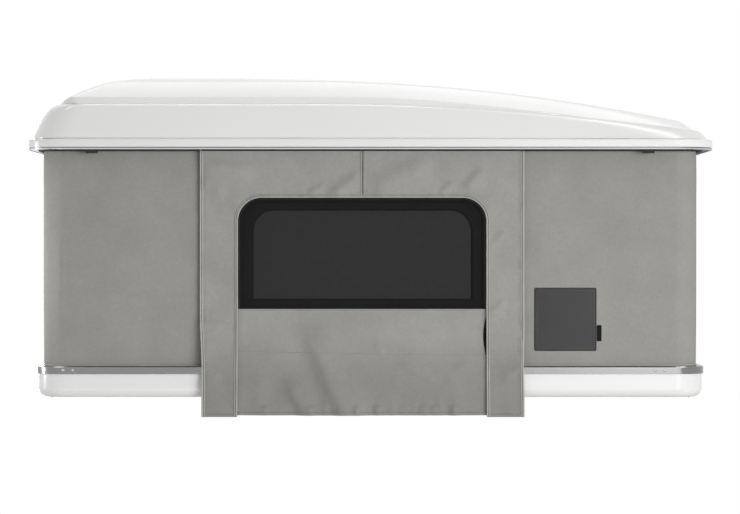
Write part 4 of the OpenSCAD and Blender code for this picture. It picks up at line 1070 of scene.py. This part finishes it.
# roll-up cover of the door window: hangs from the sill behind the lower panel
flap = {"out": 3.4, "cloth": 1.2, "drawn": 0.9, "length": 318.0, "width": 725.0, "corner": 51.0,
        "rows": 46, "columns": 60}
lean = math.atan(door["slope"])
for face, tag in ((-1, "Front"), (1, "Rear")):
    points = []
    for i in range(flap["rows"] + 1):
        down = flap["length"] * i / flap["rows"]
        short = max(0.0, flap["corner"] - flap["length"] + down)
        inset = flap["corner"] - math.sqrt(max(0.0, flap["corner"] ** 2 - short ** 2))
        for j in range(flap["columns"] + 1):
            x = mix(-1, 1, j / flap["columns"]) * (flap["width"] / 2 - inset)
            soft = 0.35 * lumps(x, 70, 0.7 * down, 80) * ramp(down / 60)
            out = flap["out"] + flap["cloth"] - 0.05 + soft
            y = wall["halfWidth"] + down * math.sin(lean) + out * math.cos(lean)
            z = door["sill"] - down * math.cos(lean) + out * math.sin(lean) * 0.2
            points.append((door["x"] + x, face * y, z))
    faces = gridFaces(flap["rows"] + 1, flap["columns"] + 1)
    flapCloth = makePiece("windowFlap" + tag, points, faces, tentCloth, "door_flap_" + tag.lower(),
                          thickness=flap["drawn"], flip=face > 0)
    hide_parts("door_flap_" + tag.lower())
    foldsDown(flapCloth)
print("window flaps made")

endBind = {"out": 2.6, "thread": (4.2, 1.05),
           "profile": [(-4.0, 0.3), (-3.6, 1.2), (-1.0, 1.5), (3.4, 1.4), (4.2, 1.0), (5.0, 1.4), (7.4, 1.2),
                       (8.0, 0.3)]}


# end windows: black border, net and pale binding in each short end
def makeEndWindow(face, tag):
    w, h, r, b = endWindow["width"], endWindow["height"], endWindow["corner"], endWindow["border"]
    cut = (w - endWindow["loose"], h - endWindow["loose"], r)
    full = outline(*cut, step=endWindow["step"])
    inner = drawIn(*cut, b, step=endWindow["step"])

    def onWall(y, z, out):
        return (face * (wall["halfLength"] + out), y, endCutMid + z)

    border = makePiece("endBorder" + tag, *borderGrid(full, inner, 6, onWall), blackCloth,
                       thickness=windowCloth["border"], flip=face > 0)
    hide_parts("end_window_border_" + tag.lower())
    netFaces = netRings(inner, *endWindow["netLap"], windowCloth["endRings"], onWall)
    net = makePiece("endNet" + tag, *netFaces, insectNet, thickness=windowCloth["net"], flip=face < 0)
    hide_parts("end_window_mesh_" + tag.lower())

    def onRim(i, a, o):
        y, z = full[i % len(full)]
        ny = math.copysign(max(0.0, abs(y) - w / 2 + r), y)
        nz = math.copysign(max(0.0, abs(z) - h / 2 + r), z)
        size = math.hypot(ny, nz) or 1.0
        return onWall(y + a * ny / size, z + a * nz / size, endBind["out"] + o)

    binding = makePiece("endBinding" + tag, *sweep(len(full), endBind["profile"], onRim, closed=True), paleTape,
                        flip=face > 0)
    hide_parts("end_window_binding_" + tag.lower())
    run = [onRim(i, *endBind["thread"]) for i in range(len(full) + 1)]
    stitching = makePiece("endStitching" + tag, *stitchPieces([run], Vector((face, 0, 0))), threadCloth,
                          flip=face < 0)
    foldsDown(border, net, binding, stitching)


makeEndWindow(-1, "Left")
makeEndWindow(1, "Right")
print("end windows made")

# sewn patch with a folded edge, and the small folded tab beside it, both left bare
patch = {"x": 595.0, "z": 237.0, "width": 190.0, "height": 193.0, "corner": 5.0, "cloth": 0.6,
         "tabWidth": 14.0, "tabHeight": 49.0, "tabFoot": 30, "line": 0.915, "lineSize": (2.8, 0.5),
         # rings of edge and face: inset, height; of the tab: share of its size, height
         "edge": [(0.0, 0.1), (0.2, 1.1), (0.9, 1.6), (3.2, 1.7), (4.2, 1.4), (4.2, 1.2), (1.2, 1.0),
                  (1.0, 0.1)],
         "face": [(1.5, 0.9), (4.6, 1.1), (9.0, 1.2), (25.0, 1.6), (45.0, 1.9), (70.0, 2.0), (88.0, 2.0)],
         "tab": [(1.0, 0.2), (1.0, 1.1), (0.94, 1.7), (0.8, 2.1), (0.5, 2.3), (0.1, 2.3)]}
patchOutline = outline(patch["width"], patch["height"], patch["corner"], step=5.0)


def onFront(x, z, out):
    along = x + wall["halfLength"] - wall["corner"]
    return (x, -(wall["halfWidth"] + wallSlack(along, z, slackShare(x, 0, z, 0, -1)) + out), z)


def patchRing(wide, tall, high):
    return [onFront(patch["x"] + x * wide, patch["z"] + z * tall, high) for x, z in patchOutline]


def patchRings(levels):
    return [patchRing(1 - 2 * amount / patch["width"], 1 - 2 * amount / patch["height"], high)
            for amount, high in levels]


patchRim = makePiece("patchEdge", *closeRings(patchRings(patch["edge"]), wrap=True), patchEdge)
patchPiece = makePiece("patchCloth", *closeRings(patchRings(patch["face"])), patchCloth,
                       thickness=patch["cloth"])
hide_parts("sewn_patch")
run = patchRing(patch["line"], patch["line"], 1.5)
patchStitching = makePiece("patchStitching", *ridgeLine(run + run[:1], Vector((0, -1, 0)), *patch["lineSize"]),
                           patchLine, flip=True)
tabLine = outline(patch["tabWidth"], patch["tabHeight"], 2.0, step=2.0)
tabX = patch["x"] + patch["width"] / 2 + 1 + patch["tabWidth"] / 2
tabZ = patch["z"] - patch["height"] / 2 + patch["tabFoot"] + patch["tabHeight"] / 2
rings = [[onFront(tabX + x * keep, tabZ + z * mix(1, keep, 0.25), high) for x, z in tabLine]
         for keep, high in patch["tab"]]
points, faces = closeRings(rings)
faces.append(tuple(reversed(range(len(tabLine)))))
tab = makePiece("patchTab", points, faces, blackCloth)
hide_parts("patch_tab")

holes = 2 * (doorCut[0] * doorCut[1] - cornerLoss(doorCut[2], 2))
holes += 2 * (endCut[0] * endCut[1] - cornerLoss(endCut[2], 4))
trimmings = [patchPiece, patchRim, patchStitching, tab, footCord]
foldsDown(wallCloth, *trimmings)
print("patch and tab made")

# mattress: foam in a knitted cover, crowned, with sewn cross channels
mattress = {
    "halfLength": 932.0, "halfWidth": 532.0, "corner": 60.0, "leastCorner": 10.0, "foot": 48.0, "channels": 7,
    "sewn": 3.4, "sewnWidth": 9.0, "lump": 110, "lumpHigh": 0.48,
    "levels": [  # inset and height above the foot
        (26, 0.2), (12, 1.0), (5, 6.0), (2.6, 14.0), (0.6, 24.0), (0.6, 36.0), (3, 48.0), (8, 55.5), (15, 59.5),
        (30, 62.0), (55, 64.6), (85, 66.6), (130, 68.6), (180, 69.8), (230, 70.5), (290, 71.0), (360, 71.2),
        (430, 71.2), (500, 71.2)]}
pitch = 2 * mattress["halfLength"] / mattress["channels"]
rings = []
for inset, z in mattress["levels"]:
    w, h = mattress["halfLength"] - inset, mattress["halfWidth"] - inset
    r = max(mattress["leastCorner"], mattress["corner"] - 0.1 * inset)
    top = ramp((z - 54) / 10)
    ring = []
    for x, y in roundRing(-w, w, h, r, r, along=96, across=36):
        dip = abs(((x / pitch + 0.5) % 1.0) - 0.5) * pitch
        dent = mattress["sewn"] * math.exp(-(dip / mattress["sewnWidth"]) ** 2) * top
        soft = mattress["lumpHigh"] * lumps(x, y, z, mattress["lump"]) * top
        ring.append((x, y, mattress["foot"] + z - dent + soft - 0.6 * top))
    rings.append(ring)
points, faces = closeRings(rings)
faces.append(tuple(reversed(range(len(rings[0])))))
mattressPad = makePiece("mattressPad", points, faces, mattressCloth)
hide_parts("mattress")
print("mattress made")

# quilted lining under the raised panel, from the riser's foot upwards
lining = {"thick": 12.0, "diamond": 150.0, "puff": 3.0, "gap": 0.9, "firstRing": 26, "drawn": 0.9985}
skin = roofRings(drawn=roofForm["wall"] + lining["gap"])[lining["firstRing"]:]
lower = []
for ring in reversed(skin):
    quilted = []
    for x, y, z in ring:
        a, b = (x + y) / lining["diamond"], (x - y) / lining["diamond"]
        puff = abs(math.sin(math.pi * a)) ** 0.5 * abs(math.sin(math.pi * b)) ** 0.5
        sunk = z - lining["thick"] + lining["puff"] * (1 - puff)
        quilted.append((x * lining["drawn"], y * lining["drawn"], sunk))
    lower.append(quilted)
strips = roofCap(len(skin[0]))
points, faces = closeRings(lower + skin, strips)
faces += [tuple(reversed(strip)) for strip in strips]
roofLining = makePiece("roofLining", points, faces, linerCloth, "roof")
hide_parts("roof_liner")
print("roof lining made")
